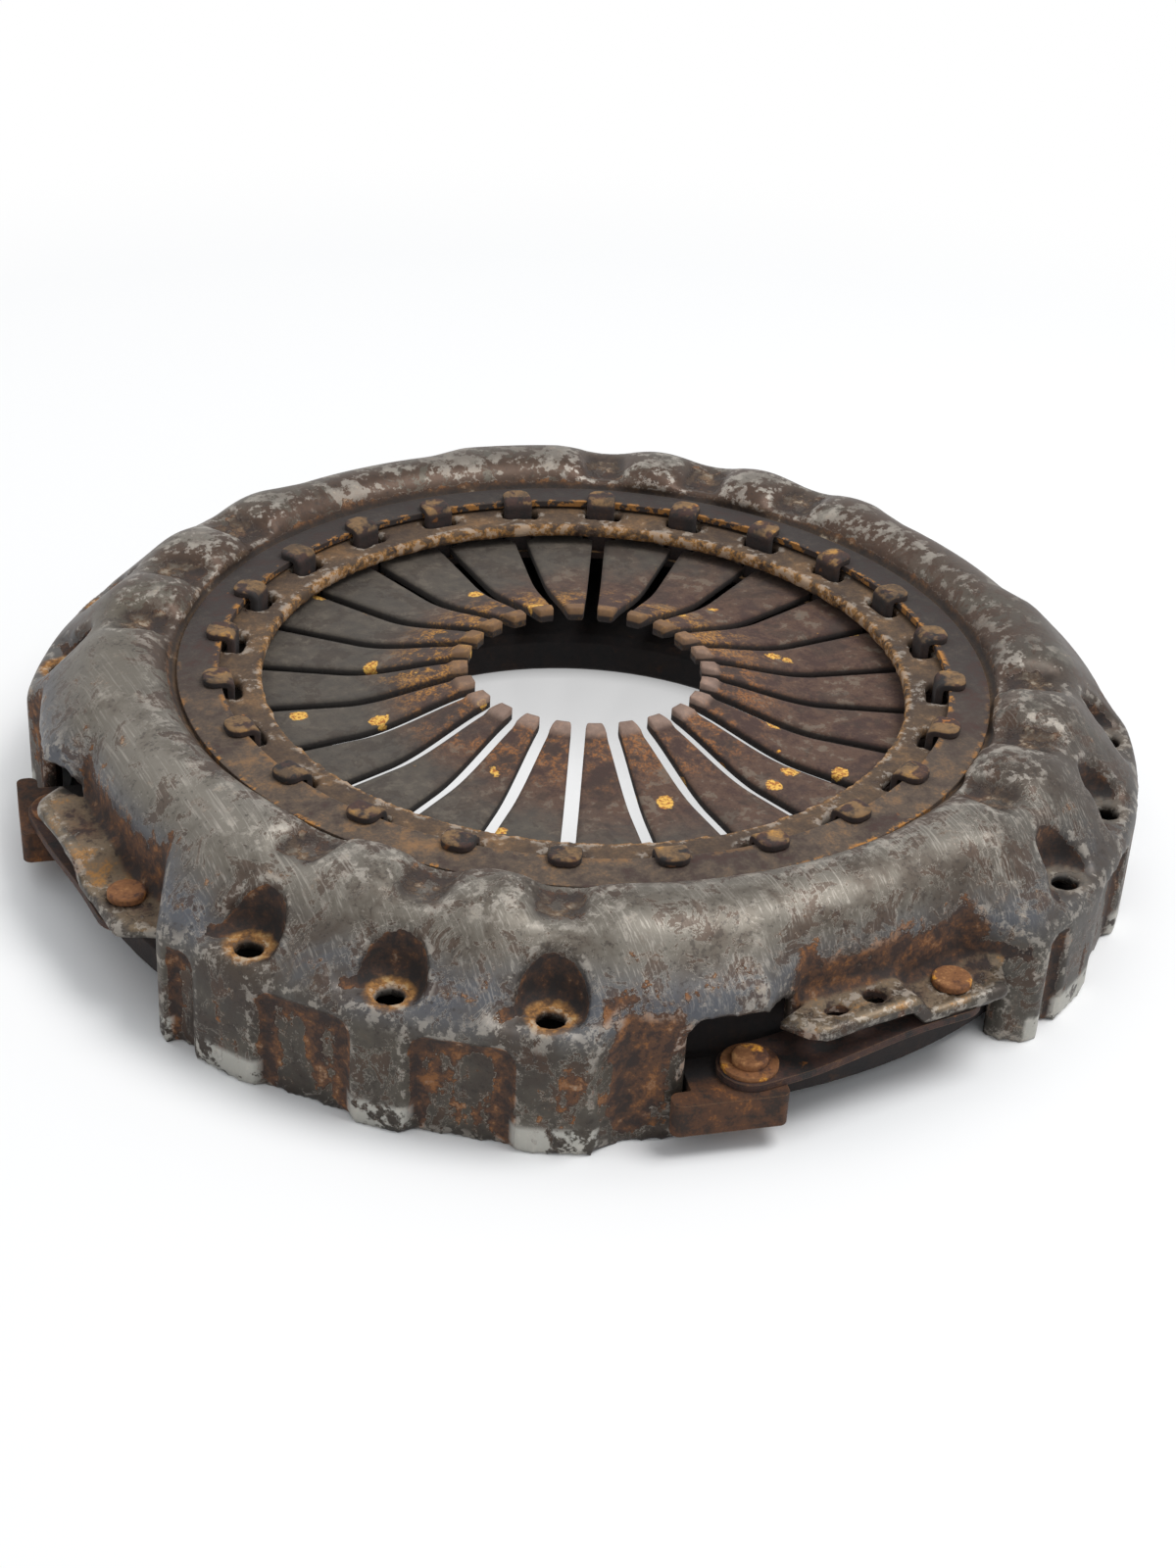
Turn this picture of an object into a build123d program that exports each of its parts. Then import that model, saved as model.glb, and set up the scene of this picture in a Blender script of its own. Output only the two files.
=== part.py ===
from build123d import *
import os
from math import cos, degrees, hypot, radians

# Clutch pressure plate of a heavy truck, push type, for a 430 mm disc: a pressed cover, a cast
# pressure plate on leaf straps, and a diaphragm spring held to the cover by a ring of hooks.
# Millimetres. The origin is the centre of the face that bolts to the flywheel, +Z is the clutch
# axis towards the release bearing, and the middle bolts of the four groups lie 45 degrees off X and Y.

# ---- Layout round the axis, degrees ----
GROUPS = 4
FINGERS = 24
BOLTS_PER_GROUP = 3
GROUP_STEP = 360 / GROUPS
FINGER_STEP = 360 / FINGERS
FIRST_GROUP = -135
GROUP_CENTRES = [FIRST_GROUP + GROUP_STEP * n for n in range(GROUPS)]
FINGER_ANGLES = [FINGER_STEP * n for n in range(FINGERS)]
BOLT_ANGLES = [FINGER_STEP * (n - (BOLTS_PER_GROUP - 1) / 2) for n in range(BOLTS_PER_GROUP)]

# Places along one group's quarter of the cover, counted from its middle bolt
GROUP_START = -24
GROUP_END = 19
LUG_WALL_START = 22
LUG_WALL_END = 35
TONGUE_WALL_START = 40
TONGUE_WALL_END = 60
WINDOW_START = 27.5
WINDOW_STEP = 38.5
WINDOW_END = 64
FOOT_SLOT_START = 22.5
LUG_ANGLE = 31.4
STRAP_ANGLE = 45.25

# ---- Cover pressing ----
SHEET = 6.0
COVER_BORE_R = 136.5
RIM_TOP = 70.5
GUTTER_R = 173.5
CREST_START_R = 178.0
CREST_END_R = 203.9
CREST_TOP = 83.6
GROUP_R = 237.5
GROUP_SHOULDER = 50.0
LUG_WALL_R = 228.5
LUG_SHOULDER = 59.0
TONGUE_WALL_R = 213.0
TONGUE_SHOULDER = 63.0
GUTTER_FILLET = 2.0
CREST_INNER_FILLET = 14.0
CREST_OUTER_FILLET = 24.0
SHOULDER_FILLET = 13.0

BOLT_CIRCLE_R = 225.0
BOLT_HOLE_R = 5.5
SEAT_TOP = 52.6
SEAT_R = 10.5
POCKET_R = 13.0
POCKET_DRAFT = 4
LEDGE_R = 6.0
LEDGE_CENTRE_R = 232.0
LEDGE_ASIDE = 13.5
LEDGE_RISE = 1.0
LEDGE_DRAFT = 20
PANEL_R = 233.0
PANEL_TOP = 45.5
PANEL_WIDTH = 39.0
END_PANEL_WIDTH = 13.0
PANEL_CORNER = 7.0
NOTCH_FLOOR = 77.8
NOTCH_SLOPE = 6
NOTCH_END_R = 203.0
NOTCH_WIDTH = 21.0

WINDOW_TOP = 53.5
WINDOW_CORNER = 9.0
FOOT_TOP = 5.5
FOOT_SLOT = 4.5
HOOK_WINDOW_R = 145.4
HOOK_WINDOW_LENGTH = 9.0
HOOK_WINDOW_WIDTH = 16.6
HOOK_WINDOW_ASIDE = 1.1

# ---- Cover tongue ----
TONGUE_UNDERSIDE = 33.5
TONGUE_SHEET = 5.5
TONGUE_RISE = 7.5
TONGUE_EDGE = 233.5
TONGUE_STEP_FROM_MIDDLE = 7.5
TONGUE_STEP_RUN = 6.0
TONGUE_LEFT = -44.0
TONGUE_RIGHT = 51.0
TONGUE_ANGLE = 50.0
TONGUE_CORNER = 5.0
LOCATING_TONGUE = 0
SMALL_HOLE_R = 3.4
SMALL_HOLE_X = -26.5
LARGE_HOLE_R = 4.7
LARGE_HOLE_X = -11.5
LOCATING_HOLE_RADIUS = 221.5

# ---- Diaphragm spring ----
SPRING_THICKNESS = 4.5
SPRING_TIP_R = 50.0
SPRING_OUTER_R = 203.0
SPRING_FLAT_START_R = 97.0
SPRING_BELT_START_R = 162.5
SPRING_FLAT_TOP = 60.5
SPRING_TIP_RISE = 10.0
SPRING_RIM_DROP = 9.0
TIP_PAD_LENGTH = 8.0
TIP_PAD_HEIGHT = 1.4
SLOT_WIDTH = 6.0
ROOT_WINDOW_START_R = 144.5
ROOT_WINDOW_END_R = 156.0
ROOT_WINDOW_WIDTH = 16.0

# ---- Rings that hold the spring to the cover ----
FULCRUM_R = 159.0
UPPER_WIRE_R = (RIM_TOP - SHEET - SPRING_FLAT_TOP) / 2
LOWER_WIRE_R = 2.0
HOOK_SHEET = 3.1
HOOK_INNER_R = 148.7
HOOK_RING_INNER_R = 147.0
HOOK_OUTER_R = 161.5
HOOK_RING_OUTER_R = 166.0
HOOK_WIDTH = 13.0
HOOK_BEND = 4.2
HOOK_END_R = 5.0
HOOK_EDGE = 1.4
PRELOAD_INNER_R = 154.3
PRELOAD_OUTER_R = 171.6
PRELOAD_SHEET = 2.8
PRELOAD_RISE = 1.5

# ---- Pressure plate ----
FRICTION_Z = 5.0
PLATE_BACK = 23.0
PLATE_BORE_R = 115.0
PLATE_OUTER_R = 218.0
PLATE_CHAMFER = 1.5
PLATE_BACK_CHAMFER = 6.0
RIDGE_R = 198.5
RIDGE_WIDTH = 8.0
RIDGE_GAP = 12.0
RIDGE_GAPS = 12
LUG_TOP = 24.1
LUG_BOTTOM = 10.3
LUG_FACE_R = 239.0
LUG_HEAD_R = 230.5
LUG_WIDTH = 44.0
LUG_NECK_LEFT = 13.5
LUG_CORNER = 3.5

# ---- Straps and their rivets ----
LEAVES = 3
LEAF_THICKNESS = 1.1
STRAP_WIDTH = 24.0
STRAP_SPAN = 87.2
STRAP_END = 12.0
STRAP_FLAT = 20.0
STRAP_BEND_R = 60.0
RIVET_CIRCLE_R = 223.5
RIVET_SHANK_R = 6.0
TONGUE_HEAD_R = 7.6
TONGUE_HEAD_HEIGHT = 3.1
TAIL_R = 8.5
TAIL_HEIGHT = 2.6
LUG_END_R = 6.8
LUG_END_HEIGHT = 3.4
WASHER_R = 10.8
WASHER_THICKNESS = 1.8
HEAD_EDGE = 0.7

# ---- Clearances ----
RIVET_CLEARANCE = 0.15
TAIL_CLEARANCE = 0.6
SPRING_SEAT_CLEARANCE = 0.3
OVERCUT = 2.0

# ---- Worked out from the sizes above ----
STRAP_TOP = TONGUE_UNDERSIDE
STRAP_STACK = LEAVES * LEAF_THICKNESS
STRAP_DROP = STRAP_TOP - STRAP_STACK - LUG_TOP
HALF_SPAN_ANGLE = degrees(STRAP_SPAN / 2 / RIVET_CIRCLE_R)
CHORD_R = RIVET_CIRCLE_R * cos(radians(HALF_SPAN_ANGLE))
HOOK_TOP = RIM_TOP + PRELOAD_RISE + PRELOAD_SHEET + HOOK_SHEET
HOOK_RING_TOP = SPRING_FLAT_TOP - SPRING_THICKNESS - 2 * LOWER_WIRE_R


def save(shape, name):
    """Write one sub-part to its own STEP file."""
    export_step(shape, f"parts/{name}.step")


def around(angle, radius=0.0, z=0.0):
    """A place on a circle round the axis, with local X pointing outwards."""
    return Rot(0, 0, angle) * Pos(radius, 0, z)


def parallel(points, distance):
    """An open line of (radius, height) points, moved to its right-hand side."""
    normals = []
    for (x0, y0), (x1, y1) in zip(points, points[1:]):
        length = hypot(x1 - x0, y1 - y0)
        normals.append(((y1 - y0) / length, (x0 - x1) / length))
    moved = []
    for (x, y), before, after in zip(points, normals[:1] + normals, normals + normals[-1:]):
        share = distance / (1 + before[0] * after[0] + before[1] * after[1])
        moved.append((x + share * (before[0] + after[0]), y + share * (before[1] + after[1])))
    return moved


def section(points, radii=None):
    """A face in the XZ plane through closed (radius, height) points, with rounded corners."""
    if radii is None:
        return Plane.XZ * make_face(Polyline(*points, close=True))
    return Plane.XZ * make_face(FilletPolyline(*points, radius=radii, close=True))


def turned(face, start=0.0, angle=360.0):
    """The solid that a section sweeps round the axis, from start and through angle."""
    return revolve(Rot(0, 0, start) * face, Axis.Z, revolution_arc=angle)


def block(x0, x1, width, z0, z1):
    """A block that lies along local X, centred across it."""
    return Pos((x0 + x1) / 2, 0, (z0 + z1) / 2) * Box(x1 - x0, width, z1 - z0)


def ring_sector(inner, outer, start, end, bottom, top):
    """A sector of a plain ring."""
    face = section([(inner, bottom), (outer, bottom), (outer, top), (inner, top)])
    return turned(face, start, end - start)


def crown_section(outer, shoulder, inset):
    """The cover's section under its outer skin, or under its inner skin with inset = SHEET."""
    skin = [
        (COVER_BORE_R, RIM_TOP),
        (GUTTER_R, RIM_TOP),
        (CREST_START_R, CREST_TOP),
        (CREST_END_R, CREST_TOP),
        (outer, shoulder),
        (outer, 0),
    ]
    skin = parallel(skin, inset)
    overcut = OVERCUT if inset else 0
    start = COVER_BORE_R - overcut
    skin[0] = (start, skin[0][1])
    skin[-1] = (skin[-1][0], -overcut)
    radii = [
        0,
        GUTTER_FILLET + inset,
        CREST_INNER_FILLET - inset,
        CREST_OUTER_FILLET - inset,
        SHOULDER_FILLET - inset,
        0,
        0,
    ]
    return section(skin + [(start, -overcut)], radii)


def crown(inset):
    """Everything under one skin of the cover: plain sectors, and flares that join them."""
    group = crown_section(GROUP_R, GROUP_SHOULDER, inset)
    lug = crown_section(LUG_WALL_R, LUG_SHOULDER, inset)
    tongue = crown_section(TONGUE_WALL_R, TONGUE_SHOULDER, inset)
    shift = degrees(inset / 2 / GROUP_R)
    sectors = [
        (group, GROUP_START + shift, GROUP_END - shift),
        (lug, LUG_WALL_START - shift, LUG_WALL_END),
        (tongue, TONGUE_WALL_START, TONGUE_WALL_END + shift),
        (group, GROUP_START + GROUP_STEP + shift, GROUP_START + GROUP_STEP + 2 * shift + 1),
    ]
    quarter = []
    for (face, start, end), (next_face, next_start, _) in zip(sectors, sectors[1:]):
        quarter.append(turned(face, start, end - start))
        quarter.append(loft([Rot(0, 0, end) * face, Rot(0, 0, next_start) * next_face], ruled=True))
    quarter = quarter[0] + quarter[1:]
    quarters = [Rot(0, 0, centre) * quarter for centre in GROUP_CENTRES]
    return quarters[0] + quarters[1:]


def well(radius, centre_r, floor, draft):
    """A drafted well cut down to a floor and open to the outside of the bolt groups."""
    reach = GROUP_R - centre_r + 2 * OVERCUT
    outline = Circle(radius) + Pos(reach / 2, 0) * Rectangle(reach, 2 * radius)
    return Pos(centre_r, 0, floor) * extrude(outline, CREST_TOP - floor + OVERCUT, taper=-draft)


def bolt_pockets(grow):
    """The wells over the bolt seats with a ledge on one side, grown by the sheet inside."""
    pocket = well(POCKET_R + grow, BOLT_CIRCLE_R, SEAT_TOP - grow, POCKET_DRAFT)
    ledge = well(LEDGE_R + grow, LEDGE_CENTRE_R, SEAT_TOP + LEDGE_RISE - grow, LEDGE_DRAFT)
    pair = [pocket, Pos(0, -LEDGE_ASIDE, 0) * ledge]
    return [Rot(0, 0, angle) * tool for angle in BOLT_ANGLES for tool in pair]


def wall_panels(grow):
    """The flat panels pressed in between the bolt columns, with rounded upper corners."""
    gaps = [(angle + FINGER_STEP / 2, PANEL_WIDTH) for angle in BOLT_ANGLES[:-1]]
    gaps.append((BOLT_ANGLES[0] - FINGER_STEP * 0.405, END_PANEL_WIDTH))
    depth = GROUP_R - PANEL_R + grow + OVERCUT
    panels = []
    for angle, width in gaps:
        height = PANEL_TOP + grow + OVERCUT
        plate = Pos(PANEL_R - grow + depth / 2, 0, height / 2 - OVERCUT) * Box(depth, width + 2 * grow, height)
        upper = plate.edges().filter_by(Axis.X).group_by(Axis.Z)[-1]
        corner = min(PANEL_CORNER, width / 2 - 1) + grow
        panels.append(Rot(0, 0, angle) * fillet(upper, corner))
    return panels


def crest_notches(grow):
    """The shallow ramps across the inner side of the crest, one above each bolt."""
    length = NOTCH_END_R - GUTTER_R
    notch = block(-1 - grow, length + grow, NOTCH_WIDTH + 2 * grow, -grow, CREST_TOP - NOTCH_FLOOR + 1)
    notch = Rot(0, -NOTCH_SLOPE, 0) * notch
    return [around(angle, GUTTER_R, NOTCH_FLOOR) * notch for angle in BOLT_ANGLES]


def pressed_body(inset):
    """One skin of the cover with all its pressed-in forms."""
    forms = bolt_pockets(inset) + wall_panels(inset) + crest_notches(inset)
    tools = [Rot(0, 0, centre) * form for centre in GROUP_CENTRES for form in forms]
    return crown(inset) - tools


def cover_tongue(index):
    """The bracket that carries a strap: a low end for the rivet, stepped up to a raised end."""
    low = TONGUE_UNDERSIDE
    step = TONGUE_STEP_FROM_MIDDLE
    top = [
        (TONGUE_LEFT, low + TONGUE_RISE + TONGUE_SHEET),
        (step - TONGUE_STEP_RUN, low + TONGUE_RISE + TONGUE_SHEET),
        (step, low + TONGUE_SHEET),
        (TONGUE_RIGHT, low + TONGUE_SHEET),
    ]
    outline = top + parallel(top, TONGUE_SHEET)[::-1]
    bend = TONGUE_SHEET / 2
    side = make_face(FilletPolyline(*outline, radius=[0, bend, bend, 0, 0, bend, bend, 0], close=True))
    inner = TONGUE_WALL_R - SHEET + 0.5
    length = LUG_FACE_R - inner
    bracket = Pos(inner, 0, 0) * extrude(Plane.YZ * side, length)
    plan = [
        (inner - 1, TONGUE_LEFT + 8),
        (TONGUE_EDGE - 2, TONGUE_LEFT + 3),
        (TONGUE_EDGE, step),
        (TONGUE_EDGE + 2, TONGUE_RIGHT - 8),
        (inner - 1, TONGUE_RIGHT + 8),
    ]
    trim = make_face(FilletPolyline(*plan, radius=[0, TONGUE_CORNER, 0, TONGUE_CORNER, 0], close=True))
    bracket = bracket & extrude(trim, CREST_TOP)
    if index == LOCATING_TONGUE:
        small = Pos(LOCATING_HOLE_RADIUS, SMALL_HOLE_X, low + CREST_TOP / 2) * Cylinder(SMALL_HOLE_R, CREST_TOP)
        large = Pos(LOCATING_HOLE_RADIUS, LARGE_HOLE_X, low + CREST_TOP / 2) * Cylinder(LARGE_HOLE_R, CREST_TOP)
        bracket = bracket - small - large
    return Rot(0, 0, TONGUE_ANGLE) * bracket


def strap_window():
    """The opening through the wall for a lug and its strap, and the slot beside the lug."""
    inner = TONGUE_WALL_R - SHEET - OVERCUT
    outer = GROUP_R + OVERCUT
    low = ring_sector(inner, outer, WINDOW_START, WINDOW_END, -OVERCUT, TONGUE_UNDERSIDE)
    high = ring_sector(inner, outer, WINDOW_START, WINDOW_STEP, TONGUE_UNDERSIDE - OVERCUT, WINDOW_TOP)
    corner = high.edges().group_by(Axis.Z)[-1].filter_by(GeomType.LINE)
    high = fillet(corner, WINDOW_CORNER)
    slot = ring_sector(inner, outer, FOOT_SLOT_START, WINDOW_START + 1, FOOT_TOP, FOOT_TOP + FOOT_SLOT)
    return [low, high, slot]


def strap_frame(centre):
    """A strap's own place: local X outwards, Y along the strap from the lug to the tongue."""
    return Rot(0, 0, centre + STRAP_ANGLE) * Pos(CHORD_R, 0, 0)


def cover():
    """The pressed cover, with bolt columns, crest, inner rim, windows and tongues."""
    shell = pressed_body(0) - pressed_body(SHEET)
    shell = shell - [Rot(0, 0, c) * tool for c in GROUP_CENTRES for tool in strap_window()]
    shell = shell + [Rot(0, 0, c) * cover_tongue(n) for n, c in enumerate(GROUP_CENTRES)]
    seats = [around(c + a, BOLT_CIRCLE_R, SEAT_TOP - SHEET / 2) for c in GROUP_CENTRES for a in BOLT_ANGLES]
    shell = shell + [seat * Cylinder(SEAT_R, SHEET) for seat in seats]
    bolts = [seat * Cylinder(BOLT_HOLE_R, SHEET + 2 * OVERCUT) for seat in seats]
    rivet = Cylinder(RIVET_SHANK_R + RIVET_CLEARANCE, TONGUE_SHEET + 2 * OVERCUT)
    rivet = Pos(0, STRAP_SPAN / 2, TONGUE_UNDERSIDE + TONGUE_SHEET / 2) * rivet
    rivets = [strap_frame(c) * rivet for c in GROUP_CENTRES]
    window = block(
        HOOK_WINDOW_R, HOOK_WINDOW_R + HOOK_WINDOW_LENGTH, HOOK_WINDOW_WIDTH, RIM_TOP - SHEET - 1, RIM_TOP + 1
    )
    windows = [Rot(0, 0, angle) * Pos(0, -HOOK_WINDOW_ASIDE, 0) * window for angle in FINGER_ANGLES]
    return shell - (bolts + rivets + windows)


def diaphragm_spring():
    """The slotted spring: a coned belt, then fingers that turn up to padded tips."""
    top = [
        (SPRING_TIP_R, SPRING_FLAT_TOP + SPRING_TIP_RISE),
        (SPRING_FLAT_START_R, SPRING_FLAT_TOP),
        (SPRING_BELT_START_R, SPRING_FLAT_TOP),
        (SPRING_OUTER_R, SPRING_FLAT_TOP - SPRING_RIM_DROP),
    ]
    bottom = parallel(top, SPRING_THICKNESS)[::-1]
    bend = 2 * SPRING_THICKNESS
    far = bend * 4
    face = section(top + bottom, [0, far, bend, 0, 0, bend, far, 0])
    spring = turned(face)
    slope = SPRING_TIP_RISE / (SPRING_FLAT_START_R - SPRING_TIP_R)
    tip_top = SPRING_FLAT_TOP + SPRING_TIP_RISE
    pad_end = tip_top - slope * TIP_PAD_LENGTH
    pad = section(
        [
            (SPRING_TIP_R, tip_top - SPRING_THICKNESS / 2),
            (SPRING_TIP_R, tip_top + TIP_PAD_HEIGHT),
            (SPRING_TIP_R + TIP_PAD_LENGTH * 0.75, pad_end + TIP_PAD_HEIGHT * 1.5),
            (SPRING_TIP_R + TIP_PAD_LENGTH, pad_end - SPRING_THICKNESS / 2),
        ],
        [0, TIP_PAD_HEIGHT, TIP_PAD_HEIGHT, 0],
    )
    spring = spring + turned(pad)
    low = SPRING_FLAT_TOP - SPRING_RIM_DROP - 2 * SPRING_THICKNESS
    high = tip_top + 2 * TIP_PAD_HEIGHT
    slot = block(SPRING_TIP_R - OVERCUT, ROOT_WINDOW_START_R + 1, SLOT_WIDTH, low, high)
    root = block(ROOT_WINDOW_START_R, ROOT_WINDOW_END_R, ROOT_WINDOW_WIDTH, low, high)
    root = fillet(root.edges().filter_by(Axis.Z), SPRING_THICKNESS / 2)
    gaps = [Rot(0, 0, angle) * tool for angle in FINGER_ANGLES for tool in (slot, root)]
    return spring - gaps


def wire_ring(wire_r, z):
    """A fulcrum ring of round wire."""
    return turned(Plane.XZ * Pos(FULCRUM_R, z) * Circle(wire_r))


def hook_ring():
    """A flat ring under the spring whose tabs come up through it and bend over the preload ring."""
    bottom = HOOK_RING_TOP - HOOK_SHEET
    ring = ring_sector(HOOK_RING_INNER_R, HOOK_RING_OUTER_R, 0, 360, bottom, HOOK_RING_TOP)
    outline = [
        (HOOK_INNER_R, bottom),
        (HOOK_INNER_R, HOOK_TOP),
        (HOOK_OUTER_R, HOOK_TOP),
        (HOOK_OUTER_R, HOOK_TOP - HOOK_SHEET),
        (HOOK_INNER_R + HOOK_SHEET, HOOK_TOP - HOOK_SHEET),
        (HOOK_INNER_R + HOOK_SHEET, bottom),
    ]
    profile = section(outline, [0, HOOK_BEND, 0, 0, HOOK_BEND - HOOK_SHEET, 0])
    tab = extrude(profile, HOOK_WIDTH / 2, both=True)
    ends = tab.edges().filter_by(Axis.Z).group_by(Axis.X)[-1]
    tab = fillet(ends, HOOK_END_R)
    tab = fillet(tab.edges().group_by(Axis.Z)[-1].sort_by(Axis.X)[1:], HOOK_EDGE)
    return ring + [Rot(0, 0, angle) * tab for angle in FINGER_ANGLES]


def preload_ring():
    """The coned ring under the hooks, its outer edge on the cover's rim."""
    outer_bottom = RIM_TOP
    inner_bottom = RIM_TOP + PRELOAD_RISE
    return turned(
        section(
            [
                (PRELOAD_INNER_R, inner_bottom),
                (PRELOAD_OUTER_R, outer_bottom),
                (PRELOAD_OUTER_R, outer_bottom + PRELOAD_SHEET),
                (PRELOAD_INNER_R, inner_bottom + PRELOAD_SHEET),
            ]
        )
    )


def spring_underside(radius):
    """The height of the spring's coned underside at one radius."""
    slope = SPRING_RIM_DROP / (SPRING_OUTER_R - SPRING_BELT_START_R)
    return SPRING_FLAT_TOP - slope * (radius - SPRING_BELT_START_R) - SPRING_THICKNESS * hypot(1, slope)


def pressure_plate():
    """The cast ring with its friction face, spring ridge, strap lugs and room for the rivet heads."""
    c = PLATE_CHAMFER
    body = turned(
        section(
            [
                (PLATE_BORE_R, FRICTION_Z + c),
                (PLATE_BORE_R + c, FRICTION_Z),
                (PLATE_OUTER_R - c, FRICTION_Z),
                (PLATE_OUTER_R, FRICTION_Z + c),
                (PLATE_OUTER_R, PLATE_BACK - PLATE_BACK_CHAMFER),
                (PLATE_OUTER_R - PLATE_BACK_CHAMFER, PLATE_BACK),
                (PLATE_BORE_R + 2 * c, PLATE_BACK),
                (PLATE_BORE_R, PLATE_BACK - 2 * c),
            ]
        )
    )
    crown_top = spring_underside(RIDGE_R) - SPRING_SEAT_CLEARANCE
    half = RIDGE_WIDTH / 2
    foot = 2 * half
    ridge = section(
        [
            (RIDGE_R - foot, PLATE_BACK - 1),
            (RIDGE_R + foot, PLATE_BACK - 1),
            (RIDGE_R + half, PLATE_BACK + foot),
            (RIDGE_R + half, crown_top),
            (RIDGE_R - half, crown_top),
            (RIDGE_R - half, PLATE_BACK + foot),
        ],
        [0, 0, half, half - 0.5, half - 0.5, half],
    )
    gap = block(RIDGE_R - 2 * foot, RIDGE_R + 2 * foot, RIDGE_GAP, PLATE_BACK, crown_top + 1)
    gaps = [Rot(0, 0, 360 / RIDGE_GAPS * n) * gap for n in range(RIDGE_GAPS)]
    plate = body + (turned(ridge) - gaps)
    plate = plate + [Rot(0, 0, centre) * strap_lug() for centre in GROUP_CENTRES]
    hole = Pos(0, 0, LUG_TOP) * Cylinder(RIVET_SHANK_R + RIVET_CLEARANCE, 4 * LUG_TOP)
    head_room = LUG_BOTTOM - FRICTION_Z + OVERCUT
    scallop = Pos(0, 0, LUG_BOTTOM - head_room / 2) * Cylinder(TAIL_R + TAIL_CLEARANCE, head_room)
    tools = [strap_frame(c) * Pos(0, -STRAP_SPAN / 2, 0) * tool for c in GROUP_CENTRES for tool in (hole, scallop)]
    return plate - tools


def strap_lug():
    """One lug: a neck through the cover's window and a wider head outside it."""
    half = LUG_WIDTH / 2
    inner = PLATE_OUTER_R - 6
    plan = [
        (inner, -LUG_NECK_LEFT),
        (LUG_HEAD_R, -LUG_NECK_LEFT),
        (LUG_HEAD_R, -half),
        (LUG_FACE_R, -half),
        (LUG_FACE_R, half),
        (inner, half),
    ]
    outline = make_face(FilletPolyline(*plan, radius=[0, 1, LUG_CORNER, LUG_CORNER, LUG_CORNER, 0], close=True))
    lug = Pos(0, 0, LUG_BOTTOM) * extrude(outline, LUG_TOP - LUG_BOTTOM)
    return Rot(0, 0, LUG_ANGLE) * lug


def strap_leaf(index):
    """One leaf of a strap, bent down from the tongue to the lug, with a rivet hole at each end."""
    half = STRAP_SPAN / 2
    high = STRAP_TOP - index * LEAF_THICKNESS
    low = high - STRAP_DROP
    line = [
        (-half - STRAP_END, low),
        (-half + STRAP_FLAT, low),
        (half - STRAP_FLAT, high),
        (half + STRAP_END, high),
    ]
    bends = [STRAP_BEND_R, STRAP_BEND_R]
    upper = FilletPolyline(*line, radius=bends)
    lower = Pos(0, -LEAF_THICKNESS) * upper
    ends = [Line(upper @ 0, lower @ 0), Line(upper @ 1, lower @ 1)]
    side = make_face(upper.edges() + lower.edges() + ends)
    strip = extrude(Plane.YZ * side, STRAP_WIDTH / 2, both=True)
    length = STRAP_SPAN + 2 * STRAP_END
    plan = fillet(Rectangle(STRAP_WIDTH, length).vertices(), STRAP_END - 3)
    strip = strip & extrude(plan, 2 * STRAP_TOP, both=True)
    hole = Cylinder(RIVET_SHANK_R + RIVET_CLEARANCE, 4 * STRAP_TOP)
    return strip - [Pos(0, side_of * half, 0) * hole for side_of in (-1, 1)]


def rivet(head_r, head_top, seat, tail_seat, tail_bottom, tail_r):
    """A headed rivet on the Z axis, from its head down to the head formed on its far end."""
    e = HEAD_EDGE
    outline = [
        (0, tail_bottom),
        (tail_r - e, tail_bottom),
        (tail_r, tail_bottom + e),
        (tail_r, tail_seat),
        (RIVET_SHANK_R, tail_seat),
        (RIVET_SHANK_R, seat),
        (head_r, seat),
        (head_r, head_top - e),
        (head_r - e, head_top),
        (0, head_top),
    ]
    return turned(section(outline))


def tongue_rivet():
    """The rivet through a tongue and its strap: a flat round head on top."""
    seat = TONGUE_UNDERSIDE + TONGUE_SHEET
    tail = STRAP_TOP - STRAP_STACK
    return rivet(TONGUE_HEAD_R, seat + TONGUE_HEAD_HEIGHT, seat, tail, tail - TAIL_HEIGHT, TAIL_R)


def lug_rivet():
    """The rivet through a lug, its strap and a washer: the narrow formed end is on top."""
    washer_top = LUG_TOP + STRAP_STACK + WASHER_THICKNESS
    return rivet(
        LUG_END_R,
        washer_top + LUG_END_HEIGHT,
        washer_top,
        LUG_BOTTOM,
        LUG_BOTTOM - TAIL_HEIGHT,
        TAIL_R,
    )


def strap_washer():
    """The washer between a strap and the formed end of the lug's rivet."""
    bottom = LUG_TOP + STRAP_STACK
    return ring_sector(RIVET_SHANK_R + RIVET_CLEARANCE, WASHER_R, 0, 360, bottom, bottom + WASHER_THICKNESS)


def main():
    os.makedirs("parts", exist_ok=True)
    save(cover(), "cover")
    save(diaphragm_spring(), "diaphragm_spring")
    save(wire_ring(UPPER_WIRE_R, SPRING_FLAT_TOP + UPPER_WIRE_R), "upper_fulcrum_ring")
    save(wire_ring(LOWER_WIRE_R, HOOK_RING_TOP + LOWER_WIRE_R), "lower_fulcrum_ring")
    save(hook_ring(), "hook_ring")
    save(preload_ring(), "preload_ring")
    save(pressure_plate(), "pressure_plate")
    for number, centre in enumerate(GROUP_CENTRES, start=1):
        place = strap_frame(centre)
        for leaf in range(LEAVES):
            save(place * strap_leaf(leaf), f"strap_{number}_leaf_{leaf + 1}")
        save(place * Pos(0, STRAP_SPAN / 2, 0) * tongue_rivet(), f"tongue_rivet_{number}")
        save(place * Pos(0, -STRAP_SPAN / 2, 0) * lug_rivet(), f"lug_rivet_{number}")
        save(place * Pos(0, -STRAP_SPAN / 2, 0) * strap_washer(), f"strap_washer_{number}")


main()
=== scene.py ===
from math import cos, pi, radians, sin
import bmesh
import bpy
import numpy as np
from mathutils import Matrix, Vector
from mathutils.bvhtree import BVHTree


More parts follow.
